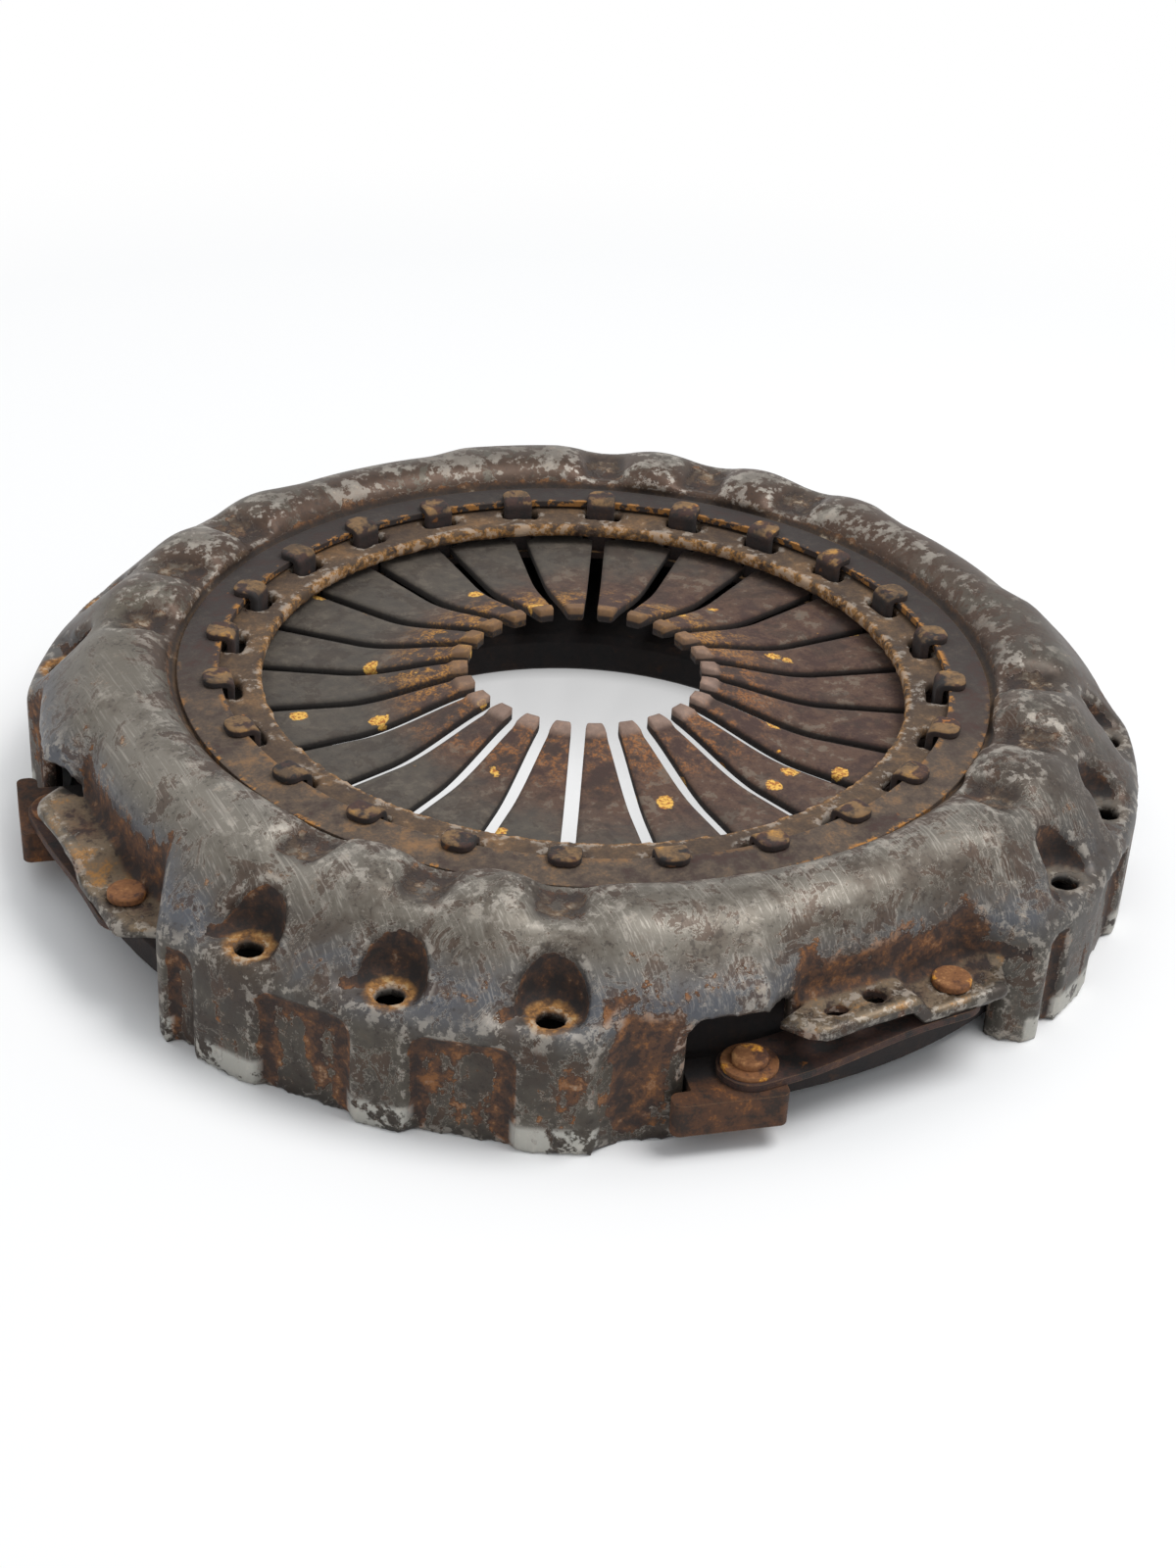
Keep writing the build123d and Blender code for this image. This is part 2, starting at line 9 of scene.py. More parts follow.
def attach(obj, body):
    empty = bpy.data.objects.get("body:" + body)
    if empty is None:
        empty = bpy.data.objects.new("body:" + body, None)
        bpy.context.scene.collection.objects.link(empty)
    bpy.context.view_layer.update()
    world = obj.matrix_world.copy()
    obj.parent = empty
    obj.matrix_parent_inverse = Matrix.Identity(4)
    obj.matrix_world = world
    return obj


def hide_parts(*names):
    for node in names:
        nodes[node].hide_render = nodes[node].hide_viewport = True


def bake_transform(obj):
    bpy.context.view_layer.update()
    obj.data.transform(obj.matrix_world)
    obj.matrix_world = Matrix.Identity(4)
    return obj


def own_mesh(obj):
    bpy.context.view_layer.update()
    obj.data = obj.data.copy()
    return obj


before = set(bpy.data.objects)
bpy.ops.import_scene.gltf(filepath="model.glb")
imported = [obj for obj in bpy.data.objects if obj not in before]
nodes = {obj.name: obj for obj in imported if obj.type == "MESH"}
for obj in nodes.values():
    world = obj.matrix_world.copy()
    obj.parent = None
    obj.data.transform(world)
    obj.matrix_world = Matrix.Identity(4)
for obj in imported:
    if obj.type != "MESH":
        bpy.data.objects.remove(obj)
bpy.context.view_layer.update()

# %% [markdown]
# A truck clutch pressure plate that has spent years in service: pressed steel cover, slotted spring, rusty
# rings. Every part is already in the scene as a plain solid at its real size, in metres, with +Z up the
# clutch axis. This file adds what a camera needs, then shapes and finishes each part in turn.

MM = 0.001
print("parts in the frame:", len(nodes))

# %% [markdown]
# The camera looks down on the part as a person does who stands beside it. Its place could be typed as raw
# coordinates; angles, a distance and a small shift are easier to read and to change.

# %% Camera
VIEW_AZIMUTH = 29.004
VIEW_ELEVATION = 31.58
VIEW_ROLL = 3.416
VIEW_DISTANCE = 1.10193
VIEW_ASIDE = 0.004322
VIEW_BELOW = 0.04943
RIM_HEIGHT = 0.0705
LENS = 59.433
FAR_CLIP = 20


def aim_camera():
    azimuth, elevation, roll = radians(VIEW_AZIMUTH), radians(VIEW_ELEVATION), radians(VIEW_ROLL)
    forward = Vector((sin(azimuth) * cos(elevation), cos(azimuth) * cos(elevation), -sin(elevation)))
    level = Vector((cos(azimuth), -sin(azimuth), 0))
    upright = level.cross(forward)
    right = cos(roll) * level + sin(roll) * upright
    up = cos(roll) * upright - sin(roll) * level
    target = Vector((0, 0, RIM_HEIGHT)) + VIEW_ASIDE * level - VIEW_BELOW * upright
    data = bpy.data.cameras.new("camera")
    data.lens = LENS
    data.clip_end = FAR_CLIP
    camera = bpy.data.objects.new("camera", data)
    turned = Matrix((right, up, -forward)).transposed().to_4x4()
    camera.matrix_world = Matrix.Translation(target - VIEW_DISTANCE * forward) @ turned
    bpy.context.collection.objects.link(camera)
    bpy.context.scene.camera = camera
    return camera


print("camera at", [round(c, 3) for c in aim_camera().location])

# %% [markdown]
# The light is a plain studio: an even grey surround, one large soft lamp high at the side and a weaker one
# opposite. Large lamps give the long soft highlights that pressed steel shows, and no hard shadows.

# %% Lamps and surround
def soft_lamp(name, place, size, power):
    data = bpy.data.lights.new(name, "AREA")
    data.shape = "DISK"
    data.size = size
    data.energy = power
    lamp = bpy.data.objects.new(name, data)
    lamp.location = place
    lamp.rotation_euler = (-Vector(place)).to_track_quat("-Z", "Y").to_euler()
    bpy.context.collection.objects.link(lamp)


LAMPS = {"window_lamp": ((0.5, -0.5, 1.5), 0.9, 16), "far_lamp": ((-0.6, 1.0, 1.2), 1.2, 3)}
for lamp_name, (lamp_place, lamp_size, lamp_power) in LAMPS.items():
    soft_lamp(lamp_name, lamp_place, lamp_size, lamp_power)
bpy.context.scene.view_settings.view_transform = "Standard"
print("lamps:", list(LAMPS))

# %% [markdown]
# A finish on worn steel is a sum of stains, and each stain is a little maths on a noise pattern. The nodes
# could be wired by hand in the Shader Editor, but maths is easier to read as Python than as a web of nodes.
# So a Value wraps one socket, + - * / ** and | on it add the Math nodes, and a Finish makes all other nodes.

# %% A value that changes over a surface
class Value:
    def __init__(self, finish, socket):
        self.finish = finish
        self.socket = socket

    def _math(self, operation, first, second):
        return self.finish.value("ShaderNodeMath", {"operation": operation}, {0: first, 1: second})

    def __add__(self, other):
        return self._math("ADD", self, other)

    def __radd__(self, other):
        return self._math("ADD", other, self)

    def __sub__(self, other):
        return self._math("SUBTRACT", self, other)

    def __rsub__(self, other):
        return self._math("SUBTRACT", other, self)

    def __mul__(self, other):
        return self._math("MULTIPLY", self, other)

    def __rmul__(self, other):
        return self._math("MULTIPLY", other, self)

    def __truediv__(self, other):
        return self._math("DIVIDE", self, other)

    def __rtruediv__(self, other):
        return self._math("DIVIDE", other, self)

    def __pow__(self, other):
        return self._math("POWER", self, other)

    def __or__(self, other):
        return self._math("MAXIMUM", self, other)

    def __ror__(self, other):
        return self._math("MAXIMUM", other, self)


print("operators that a value knows:", "+ - * / ** |")


# %% A finish: one material and the nodes behind it
class Finish:
    def __init__(self, name):
        self.material = bpy.data.materials.new(name)
        self.material.use_nodes = True
        self.tree = self.material.node_tree
        self.surface = self.tree.nodes["Principled BSDF"]
        self.place = self.value("ShaderNodeTexCoord", {}, {}, "Object")

    def node(self, kind, settings, sockets):
        made = self.tree.nodes.new(kind)
        for key, setting in settings.items():
            setattr(made, key, setting)
        for key, value in sockets.items():
            self.feed(made.inputs[key], value)
        return made

    def feed(self, socket, value):
        if isinstance(value, Value):
            self.tree.links.new(value.socket, socket)
        elif socket.type == "RGBA" and len(value) == 3:
            socket.default_value = (*value, 1)
        else:
            socket.default_value = value

    def value(self, kind, settings, sockets, output=0):
        return Value(self, self.node(kind, settings, sockets).outputs[output])

    def shifted(self, seed, place=None):
        """The place that a pattern reads, moved by the seed, so that no two patterns are alike."""
        offset = (0.37 * seed, 0.71 * seed, 0.53 * seed)
        return self.value("ShaderNodeVectorMath", {"operation": "ADD"}, {0: place or self.place, 1: offset})

    def noise(self, size, seed=0, detail=4, rough=0.6, warp=0.0, place=None):
        sockets = {"Vector": self.shifted(seed, place), "Scale": 1 / size, "Detail": detail,
                   "Roughness": rough, "Distortion": warp}
        return self.value("ShaderNodeTexNoise", {}, sockets)

    def cells(self, size, seed=0):
        return self.value("ShaderNodeTexVoronoi", {}, {"Vector": self.shifted(seed), "Scale": 1 / size})

    def above(self, value, low, high):
        """0 under low and 1 over high, with a smooth step between."""
        sockets = {"Value": value, "From Min": low, "From Max": high}
        return self.value("ShaderNodeMapRange", {"interpolation_type": "SMOOTHSTEP"}, sockets)

    def below(self, value, low, high):
        sockets = {"Value": value, "From Min": low, "From Max": high, "To Min": 1.0, "To Max": 0.0}
        return self.value("ShaderNodeMapRange", {"interpolation_type": "SMOOTHSTEP"}, sockets)

    def near(self, value, middle, reach):
        """1 at the middle and 0 beyond the reach on both sides."""
        return self.above(value, middle - reach, middle) * self.below(value, middle, middle + reach)

    def mix(self, mask, under, over):
        kind = {"data_type": "RGBA"}
        return self.value("ShaderNodeMix", kind, {0: mask, 6: under, 7: over}, 2)

    def stretched(self, scale, turn=(0, 0, 0)):
        sockets = {"Vector": self.place, "Scale": scale, "Rotation": turn}
        return self.value("ShaderNodeMapping", {}, sockets)

    def axes(self):
        split = self.node("ShaderNodeSeparateXYZ", {}, {0: self.place})
        return [Value(self, socket) for socket in split.outputs]

    def radius(self):
        x, y, _ = self.axes()
        return (x * x + y * y) ** 0.5

    def attribute(self, name):
        return self.value("ShaderNodeAttribute", {"attribute_name": name}, {}, "Fac")

    def upright(self):
        """1 on faces that stand upright, 0 on faces that lie flat."""
        normal = self.value("ShaderNodeNewGeometry", {}, {}, "Normal")
        split = self.node("ShaderNodeSeparateXYZ", {}, {0: normal})
        return self.below(Value(self, split.outputs["Z"]), 0.25, 0.6)

    def edges(self, width):
        """A normal that is rounded over the edges, and how far it leans away from the true one."""
        soft = self.value("ShaderNodeBevel", {"samples": 6}, {"Radius": width})
        true = self.value("ShaderNodeNewGeometry", {}, {}, "Normal")
        dot = {"operation": "DOT_PRODUCT"}
        return soft, 1 - self.value("ShaderNodeVectorMath", dot, {0: soft, 1: true}, "Value")

    def finish(self, colour, roughness, metallic, height, depth, normal=None):
        sockets = {"Height": height, "Distance": depth}
        if normal:
            sockets["Normal"] = normal
        bump = self.value("ShaderNodeBump", {}, sockets)
        for key, value in {"Base Color": colour, "Roughness": roughness, "Metallic": metallic,
                           "Normal": bump}.items():
            self.feed(self.surface.inputs[key], value)
        return self.material


print("finish tools ready")

# %% [markdown]
# The floor is a wide pale sheet that keeps the shadow of the part and turns to plain white away from it.
# More lamps could whiten it, but they would also bleach the steel, so it glows only where the camera looks.
# Right under the plate it doesn't glow at all, so the dark space inside the cover stays dark. The surround
# is white where it is seen or mirrored, and a quieter grey where it lights the steel.

# %% Floor and surround
FLOOR_SIZE = 8
SHADOW_REACH = (0.45, 0.9)
BORE_SHADE = (0.115, 0.14)
RIM_SHADE = (0.235, 0.27)
FLOOR_WHITE = (0.9, 0.9, 0.9)
FLOOR_GLOW = 0.55
FLOOR_DROP = 0.2 * MM


def seen_rays(finish):
    path = finish.node("ShaderNodeLightPath", {}, {})
    camera, glossy, through = [Value(finish, path.outputs[ray]) for ray in
                               ("Is Camera Ray", "Is Glossy Ray", "Is Transmission Ray")]
    return camera | glossy | through


def pale_floor():
    finish = Finish("floor_white")
    finish.feed(finish.surface.inputs["Base Color"], FLOOR_WHITE)
    finish.surface.inputs["Roughness"].default_value = 0.9
    glow = finish.node("ShaderNodeEmission", {}, {"Color": (1.0, 1.0, 1.0), "Strength": 1.0})
    radius = finish.radius()
    open_floor = finish.below(radius, *BORE_SHADE) | finish.above(radius, *RIM_SHADE)
    far = (open_floor * FLOOR_GLOW | finish.above(radius, *SHADOW_REACH)) * seen_rays(finish)
    blend = finish.node("ShaderNodeMixShader", {}, {0: far})
    finish.tree.links.new(finish.surface.outputs[0], blend.inputs[1])
    finish.tree.links.new(glow.outputs[0], blend.inputs[2])
    finish.tree.links.new(blend.outputs[0], finish.tree.nodes["Material Output"].inputs[0])
    bpy.ops.mesh.primitive_plane_add(size=FLOOR_SIZE)
    floor = bpy.context.object
    floor.name = "floor"
    floor.data.transform(Matrix.Translation((0, 0, -FLOOR_DROP)))
    floor.data.materials.append(finish.material)


def grey_surround():
    world = bpy.data.worlds.new("studio")
    world.use_nodes = True
    tree = world.node_tree
    tree.nodes["Background"].inputs["Color"].default_value = (0.62, 0.64, 0.66, 1)
    white = tree.nodes.new("ShaderNodeBackground")
    white.inputs["Color"].default_value = (1, 1, 1, 1)
    blend, path = tree.nodes.new("ShaderNodeMixShader"), tree.nodes.new("ShaderNodeLightPath")
    seen = path.outputs["Is Camera Ray"]
    for ray in ("Is Glossy Ray", "Is Transmission Ray"):
        either = tree.nodes.new("ShaderNodeMath")
        either.operation = "MAXIMUM"
        tree.links.new(seen, either.inputs[0])
        tree.links.new(path.outputs[ray], either.inputs[1])
        seen = either.outputs[0]
    tree.links.new(seen, blend.inputs[0])
    tree.links.new(tree.nodes["Background"].outputs[0], blend.inputs[1])
    tree.links.new(white.outputs[0], blend.inputs[2])
    tree.links.new(blend.outputs[0], tree.nodes["World Output"].inputs[0])
    bpy.context.scene.world = world


pale_floor()
grey_surround()
print("floor and surround ready")

# %% [markdown]
# Rust is not one colour: it runs from near black through red-brown and tan to bright yellow-orange where it
# is fresh. The colours are written as they would be picked on a screen, and turned into light values here.

# %% Rust and steel colours
def screen(red, green, blue):
    """Light values of a colour that is given as 0 to 255 on a screen."""
    shares = [c / 255 for c in (red, green, blue)]
    return tuple(c / 12.92 if c < 0.04045 else ((c + 0.055) / 1.055) ** 2.4 for c in shares)


# The darkest tone: soot and old rust, and also the colour of painted shade in gaps and on dark sides.
SOOT_AND_SHADE = screen(34, 30, 29)
DARK_RUST = screen(62, 42, 36)
BROWN_RUST = screen(96, 66, 45)
TAN_RUST = screen(142, 108, 76)
ORANGE_RUST = screen(164, 102, 46)
FRESH_RUST = screen(222, 158, 58)
STEEL_BRIGHT = screen(190, 183, 173)
STEEL_DULL = screen(88, 83, 77)
STEEL_DARK = screen(52, 49, 47)


def scales(finish, seed):
    """The same stain pattern at three sizes: patches, chips and grain."""
    patch = finish.noise(24 * MM, seed, 5, 0.64, 0.35)
    chip = finish.noise(6 * MM, seed + 1, 4, 0.68)
    grain = finish.noise(1.2 * MM, seed + 2, 2, 0.6)
    return patch, chip, grain


def rust_coat(finish, tone, grain, dark, middle, light, spread=0.05):
    """Rust in three tones: dark where it is old, light where it is fresh. A wide spread blends them."""
    mixed = tone * 0.84 + grain * 0.16
    first, second = 0.475, 0.58
    old = finish.mix(finish.above(mixed, first - spread, first + spread), dark, middle)
    return finish.mix(finish.above(mixed, second - spread, second + spread), old, light)


print("orange rust is", [round(c, 3) for c in ORANGE_RUST])

# %% [markdown]
# The cover is one pressing of 6 mm steel. Its CAD solid has the right forms but a press leaves every corner
# round. The edges could be filleted one by one; laying a fine even skin over the solid and relaxing it
# rounds them all, the way drawn sheet does, and gives even points that can carry a map of hollows and
# ridges for the rust.

# %% A fine even skin over a CAD solid
MERGE_DISTANCE = 0.01 * MM


def fine_skin(node, voxel):
    mesh = nodes[node].data.copy()
    skin = bmesh.new()
    skin.from_mesh(mesh)
    bmesh.ops.remove_doubles(skin, verts=skin.verts, dist=MERGE_DISTANCE)
    skin.to_mesh(mesh)
    skin.free()
    piece = bpy.data.objects.new("skin", mesh)
    bpy.context.collection.objects.link(piece)
    remesh = piece.modifiers.new("skin", "REMESH")
    remesh.mode = "VOXEL"
    remesh.voxel_size = voxel
    made = bpy.data.meshes.new_from_object(piece.evaluated_get(bpy.context.evaluated_depsgraph_get()))
    bpy.data.objects.remove(piece)
    return made


def points(mesh):
    flat = np.empty(len(mesh.vertices) * 3)
    mesh.vertices.foreach_get("co", flat)
    return flat.reshape(-1, 3)


def normals(mesh):
    flat = np.empty(len(mesh.vertices) * 3, np.float32)
    mesh.vertex_normals.foreach_get("vector", flat)
    return flat.reshape(-1, 3)


def relaxed(place, edges, weight, rounds, pull=0.6, push=-0.62):
    """Moves each point to the middle of its neighbours and back a little, so that nothing shrinks."""
    here, there = np.concatenate([edges, edges[:, ::-1]]).T
    count = np.maximum(np.bincount(here, minlength=len(place)), 1)
    for turn in range(rounds):
        mean = np.stack([np.bincount(here, place[there, axis], len(place)) / count for axis in range(3)], 1)
        place = place + (mean - place) * (weight * (push if turn % 2 else pull))[:, None]
    return place


def edge_list(mesh):
    flat = np.empty(len(mesh.edges) * 2, np.int64)
    mesh.edges.foreach_get("vertices", flat)
    return flat.reshape(-1, 2)


def ease(value, low, high):
    """0 under low and 1 over high, with a smooth step between, for each of many values."""
    part = np.clip((value - low) / (high - low), 0, 1)
    return part * part * (3 - 2 * part)


print("triangles of the plain cover:", len(nodes["cover"].data.polygons))

# %% [markdown]
# The cover repeats every quarter turn: a group of three bolts with notched humps, then a tongue that holds
# a strap. What the skin has to do at a point could be painted on as weights by hand. It follows from the
# point's angle and radius, though, so short functions say how near each point is to a bolt, a hump or a
# tongue.

# %% Where the bolts, humps and tongues are
BOLT_RADIUS = 225 * MM
BOLT_STEP = radians(15)
GROUP_MIDDLES = [radians(angle) for angle in (-135, -45, 45, 135)]
TONGUE_TURN = radians(50)


def from_axis(place):
    return np.hypot(place[:, 0], place[:, 1])


def turned_from(place, direction):
    """The angle of each point past a direction, from minus half a turn to half a turn."""
    return (np.arctan2(place[:, 1], place[:, 0]) - direction + pi) % (2 * pi) - pi


def from_groups(place, turn=0.0):
    """The angle of each point to the nearest group's middle, or to a direction that far past it."""
    return np.min([np.abs(turned_from(place, middle + turn)) for middle in GROUP_MIDDLES], 0)


def from_bolts(place):
    """Distance of each point from the axis of the nearest bolt hole, seen from above."""
    nearest = np.full(len(place), 1.0)
    for middle in GROUP_MIDDLES:
        for step in (-BOLT_STEP, 0, BOLT_STEP):
            x, y = BOLT_RADIUS * cos(middle + step), BOLT_RADIUS * sin(middle + step)
            nearest = np.minimum(nearest, np.hypot(place[:, 0] - x, place[:, 1] - y))
    return nearest


def hump_map(place):
    """1 on the humps beside and between the bolts of a group, 0 at each notch and 1 along the plain arcs."""
    off = from_groups(place)
    wave = 0.5 - 0.5 * np.cos(2 * pi * off / BOLT_STEP)
    return np.where(off < 1.5 * BOLT_STEP, wave, 1.0)


def between_bolts(place):
    """1 on the two humps that lie between the bolts of each group."""
    return 1 - ease(np.abs(from_groups(place) - BOLT_STEP / 2), radians(2.5), radians(6.5))


def tongue_frames():
    """For each strap tongue, the direction out of the cover and the direction along its lip."""
    for middle in GROUP_MIDDLES:
        away = np.array((cos(middle + TONGUE_TURN), sin(middle + TONGUE_TURN)))
        yield away, np.array((-away[1], away[0]))


print("bolts:", 3 * len(GROUP_MIDDLES), "tongues:", len(list(tongue_frames())))

# %% [markdown]
# The strap tongues are bent and sheared flat, so a relaxed skin would make them look like dough. They could
# be left out of it as separate pieces, with a seam. Their points are laid back on the solid instead, which
# keeps flat faces and round holes, and then the raised end is drawn out to a slant, as the shear left it.

# %% Tongues that stay flat
TONGUE_LEVEL = (32 * MM, 47.5 * MM)
TONGUE_INSIDE = 216 * MM
TONGUE_SIDES = (-47 * MM, 35 * MM)
TONGUE_LIP = 232.5 * MM
END_DRAW = 0.95
END_PUSH = 1.5 * MM


def flatten_tongues(place, edges):
    """Lays the points of the strap tongues back on the solid, for flat faces and round holes."""
    source = nodes["cover"].data
    solid = BVHTree.FromPolygons([v.co for v in source.vertices], [face.vertices for face in source.polygons])
    on_tongue = np.zeros(len(place), bool)
    for away, along in tongue_frames():
        out, side = place[:, :2] @ away, place[:, :2] @ along
        level = (place[:, 2] > TONGUE_LEVEL[0]) & (place[:, 2] < TONGUE_LEVEL[1])
        on_tongue |= level & (out > TONGUE_INSIDE) & (side > TONGUE_SIDES[0]) & (side < TONGUE_SIDES[1])
    for _ in range(3):
        place = relaxed(place, edges, on_tongue * 0.5, 1)
        for index in np.flatnonzero(on_tongue):
            place[index] = solid.find_nearest(place[index])[0]
    return place


def sweep_tongues(place):
    """Draws the raised end of each strap tongue out past its window, further at the wall than at the lip."""
    for away, along in tongue_frames():
        out, side = place[:, :2] @ away, place[:, :2] @ along
        raised = ease(place[:, 2], 39.5 * MM, 40.6 * MM) * (1 - ease(place[:, 2], 47.2 * MM, 48.5 * MM))
        end = ease(out, 213.5 * MM, 216 * MM) * ease(-side, 18 * MM, 44 * MM) * (side > -60 * MM)
        part = raised * end
        reach = END_DRAW * np.clip(TONGUE_LIP - out, 0, 20 * MM)
        place[:, :2] += along * (-part * reach)[:, None] + away * (part * END_PUSH)[:, None]
    return place


print("a tongue's end is drawn out by up to", round(END_DRAW * 20, 1), "mm")

# %% The pressed cover, relaxed
SKIN_VOXEL = 2.34 * MM
HUMP_PUSH = 3.2 * MM
GROOVE_DEPTH = 3.4 * MM
ROUNDING = 22
FOOT_FLAT = 1.1 * MM


def crown_share(place, bolt):
    """1 on the crest, which is rounded fully, and 0 on the inner flange and round the bolts."""
    crest = ease(place[:, 2], 40 * MM, 50 * MM) * ease(from_axis(place), 172 * MM, 180 * MM)
    return crest * ease(bolt, 10.5 * MM, 13 * MM)


def seat_share(place, bolt):
    """1 on the machined bolt seats, which stay flat and crisp."""
    level = ease(place[:, 2], 43 * MM, 45 * MM) * (1 - ease(place[:, 2], 54 * MM, 57 * MM))
    return level * (1 - ease(bolt, 11 * MM, 13 * MM))


def shape_crest(place, bolt):
    """Presses in the humps between the bolts and deepens the grooves that run out from the notches."""
    radius, height = from_axis(place), place[:, 2]
    groove = (1 - hump_map(place)) * ease(bolt, 12 * MM, 17 * MM) * ease(height, 48 * MM, 60 * MM)
    outward = place * (1, 1, 0) / radius[:, None]
    flank = ease(radius, 173.8 * MM, 176 * MM) * (1 - ease(radius, 188 * MM, 200 * MM))
    flank = flank * ease(height, 71 * MM, 75 * MM)
    place = place - outward * (between_bolts(place) * flank * HUMP_PUSH)[:, None]
    place[:, 2] -= groove * ease(radius, 174 * MM, 180 * MM) * GROOVE_DEPTH
    return place


def press_cover():
    """The finished skin, its points, their distances from the bolts, and maps of broad and sharp hollows."""
    mesh = fine_skin("cover", SKIN_VOXEL)
    edges, place = edge_list(mesh), points(mesh)
    bolt = from_bolts(place)
    weight = (0.3 + 0.7 * crown_share(place, bolt)) * (1 - 0.97 * seat_share(place, bolt))
    place = relaxed(shape_crest(place, bolt), edges, weight, ROUNDING)
    place = sweep_tongues(flatten_tongues(place, edges))
    place[place[:, 2] < FOOT_FLAT, 2] = 0
    mesh.vertices.foreach_set("co", place.ravel())
    mesh.update()
    everywhere, facing = np.ones(len(place)), normals(mesh)
    lift = ((relaxed(place, edges, everywhere, 36, 0.7, 0.7) - place) * facing).sum(1)
    crease = ((relaxed(place, edges, everywhere, 5, 0.7, 0.7) - place) * facing).sum(1)
    return mesh, place, bolt, lift / (2.2 * MM), crease / (0.35 * MM)


cover_mesh, cover_points, bolt_distance, cover_lift, cover_crease = press_cover()
print("cover skin:", len(cover_points), "points; hollows up to", round(float(cover_lift.max()), 2))

# %% [markdown]
# Rust sits where water stays: in hollows, pockets, panels and under edges. Such places could be painted by
# hand. The skin's own form already tells them, so each map is a number on every point, and the finish reads
# it by name.

# %% Maps of the cover for its finish
PANEL_TOP = 45.5 * MM
PANELS = ((-7.5, 39 * MM), (7.5, 39 * MM), (-21.1, 13 * MM))
FOOT_BAND = 12.5 * MM
SHELTERED_TURN = radians(24)
SHELTERED_HALF = radians(6)


def store(mesh, name, values):
    layer = mesh.attributes.new(name, "FLOAT", "POINT")
    layer.data.foreach_set("value", np.clip(values, 0, 1).astype(np.float32))


def panel_sides(place):
    """1 in the grooves down both sides of each wall panel, 0 in its middle and on the columns."""
    groove, radius = np.zeros(len(place)), from_axis(place)
    for centre, width in PANELS:
        off = from_groups(place, radians(centre)) * radius / (width / 2)
        groove = np.maximum(groove, ease(off, 0.42, 0.75) * (1 - ease(off, 0.98, 1.12)))
    return groove


def sheltered_walls(place):
    """1 on the set-back wall above each strap tongue and on the wall between the bolts and the window."""
    height = place[:, 2]
    wall = 0.95 * ease(1 - from_groups(place, SHELTERED_TURN) / SHELTERED_HALF, 0, 0.5)
    wall = wall * ease(height, 6 * MM, 12 * MM) * (1 - ease(height, 60 * MM, 66 * MM))
    wall = wall * ease(from_axis(place), 209 * MM, 217 * MM)
    level = ease(height, 34 * MM, 39 * MM) * (1 - ease(height, 58 * MM, 72 * MM))
    for away, along in tongue_frames():
        out, side = place[:, :2] @ away, place[:, :2] @ along
        reach = (1 - ease(np.abs(side), 36 * MM, 54 * MM)) * ease(out, 170 * MM, 190 * MM)
        wall = np.maximum(wall, reach * level * (1 - ease(out, 226 * MM, 233 * MM)))
    return wall


def map_cover(mesh, place, bolt, lift, crease):
    radius, height = from_axis(place), place[:, 2]
    below = 1 - ease(height, PANEL_TOP - 2 * MM, PANEL_TOP + 3 * MM)
    panel = below * panel_sides(place) * ease(radius, 229 * MM, 231 * MM)
    under_top = ease(height, PANEL_TOP - 9 * MM, PANEL_TOP - 3 * MM) * (radius < 234.6 * MM)
    panel = np.maximum(panel, below * under_top * 0.8)
    pocket = (1 - ease(bolt, 12 * MM, 19 * MM)) * ease(height, 50.5 * MM, 52 * MM) * ease(lift, -0.1, 0.25)
    on_seat = ease(height, 50 * MM, 52 * MM) * (1 - ease(height, 54 * MM, 56 * MM))
    seat = on_seat * (1 - ease(bolt, 8.5 * MM, 10.5 * MM))
    band = 1 - ease(height, FOOT_BAND - 0.6 * MM, FOOT_BAND + 0.6 * MM)
    band = band * ease(radius, 234.5 * MM, 236 * MM)
    maps = {"hollow": lift, "ridge": -lift, "corner": crease, "edge": -crease, "panel": panel,
            "pocket": pocket, "seat": seat, "band": band, "shelter": sheltered_walls(place),
            "rim": 1 - ease(radius, 172 * MM, 177 * MM)}
    for name, values in maps.items():
        store(mesh, name, values)
    return list(maps)


COVER_MAPS = map_cover(cover_mesh, cover_points, bolt_distance, cover_lift, cover_crease)
print("cover maps:", COVER_MAPS)

# %% [markdown]
# The cover's steel is bare and scuffed on the humps, with painted sheen on the near ones and painted shade on
# the far side and low on the walls, stained blue-grey in patches, and rusted in pockets and panels. A painted
# texture could show that, but it would have to be redrawn with every change of shape.
# Masks from the maps choose between steel and rust instead, and noise at several sizes breaks their borders
# up.

# %% Stain patterns and maps, at hand for the cover
class CoverFinish(Finish):
    """A finish that knows the cover's maps, where each point is, and its own stains at three sizes."""

    def __init__(self, name):
        super().__init__(name)
        self.x, self.y, self.z = self.axes()
        self.out = self.radius()
        self.across = self.x * 0.87 - self.y * 0.48
        self.depth = self.x * 0.48 + self.y * 0.87
        self.maps = {each: self.attribute(each) for each in COVER_MAPS}
        self.patch, self.chip, self.grain = scales(self, 3)

    def stain(self, share):
        """A stain pattern that is part patch, by the given share, and for the rest chip."""
        return self.patch * share + self.chip * (1 - share)

    def coat(self, tone, dark, middle, light, spread=0.05):
        return rust_coat(self, tone, self.grain, screen(*dark), screen(*middle), screen(*light), spread)

    def lay(self, mask, under, *colour):
        """Lays one colour, given as on a screen, over what is there."""
        return self.mix(mask, under, screen(*colour))


print("the cover's finish reads", len(COVER_MAPS), "maps")


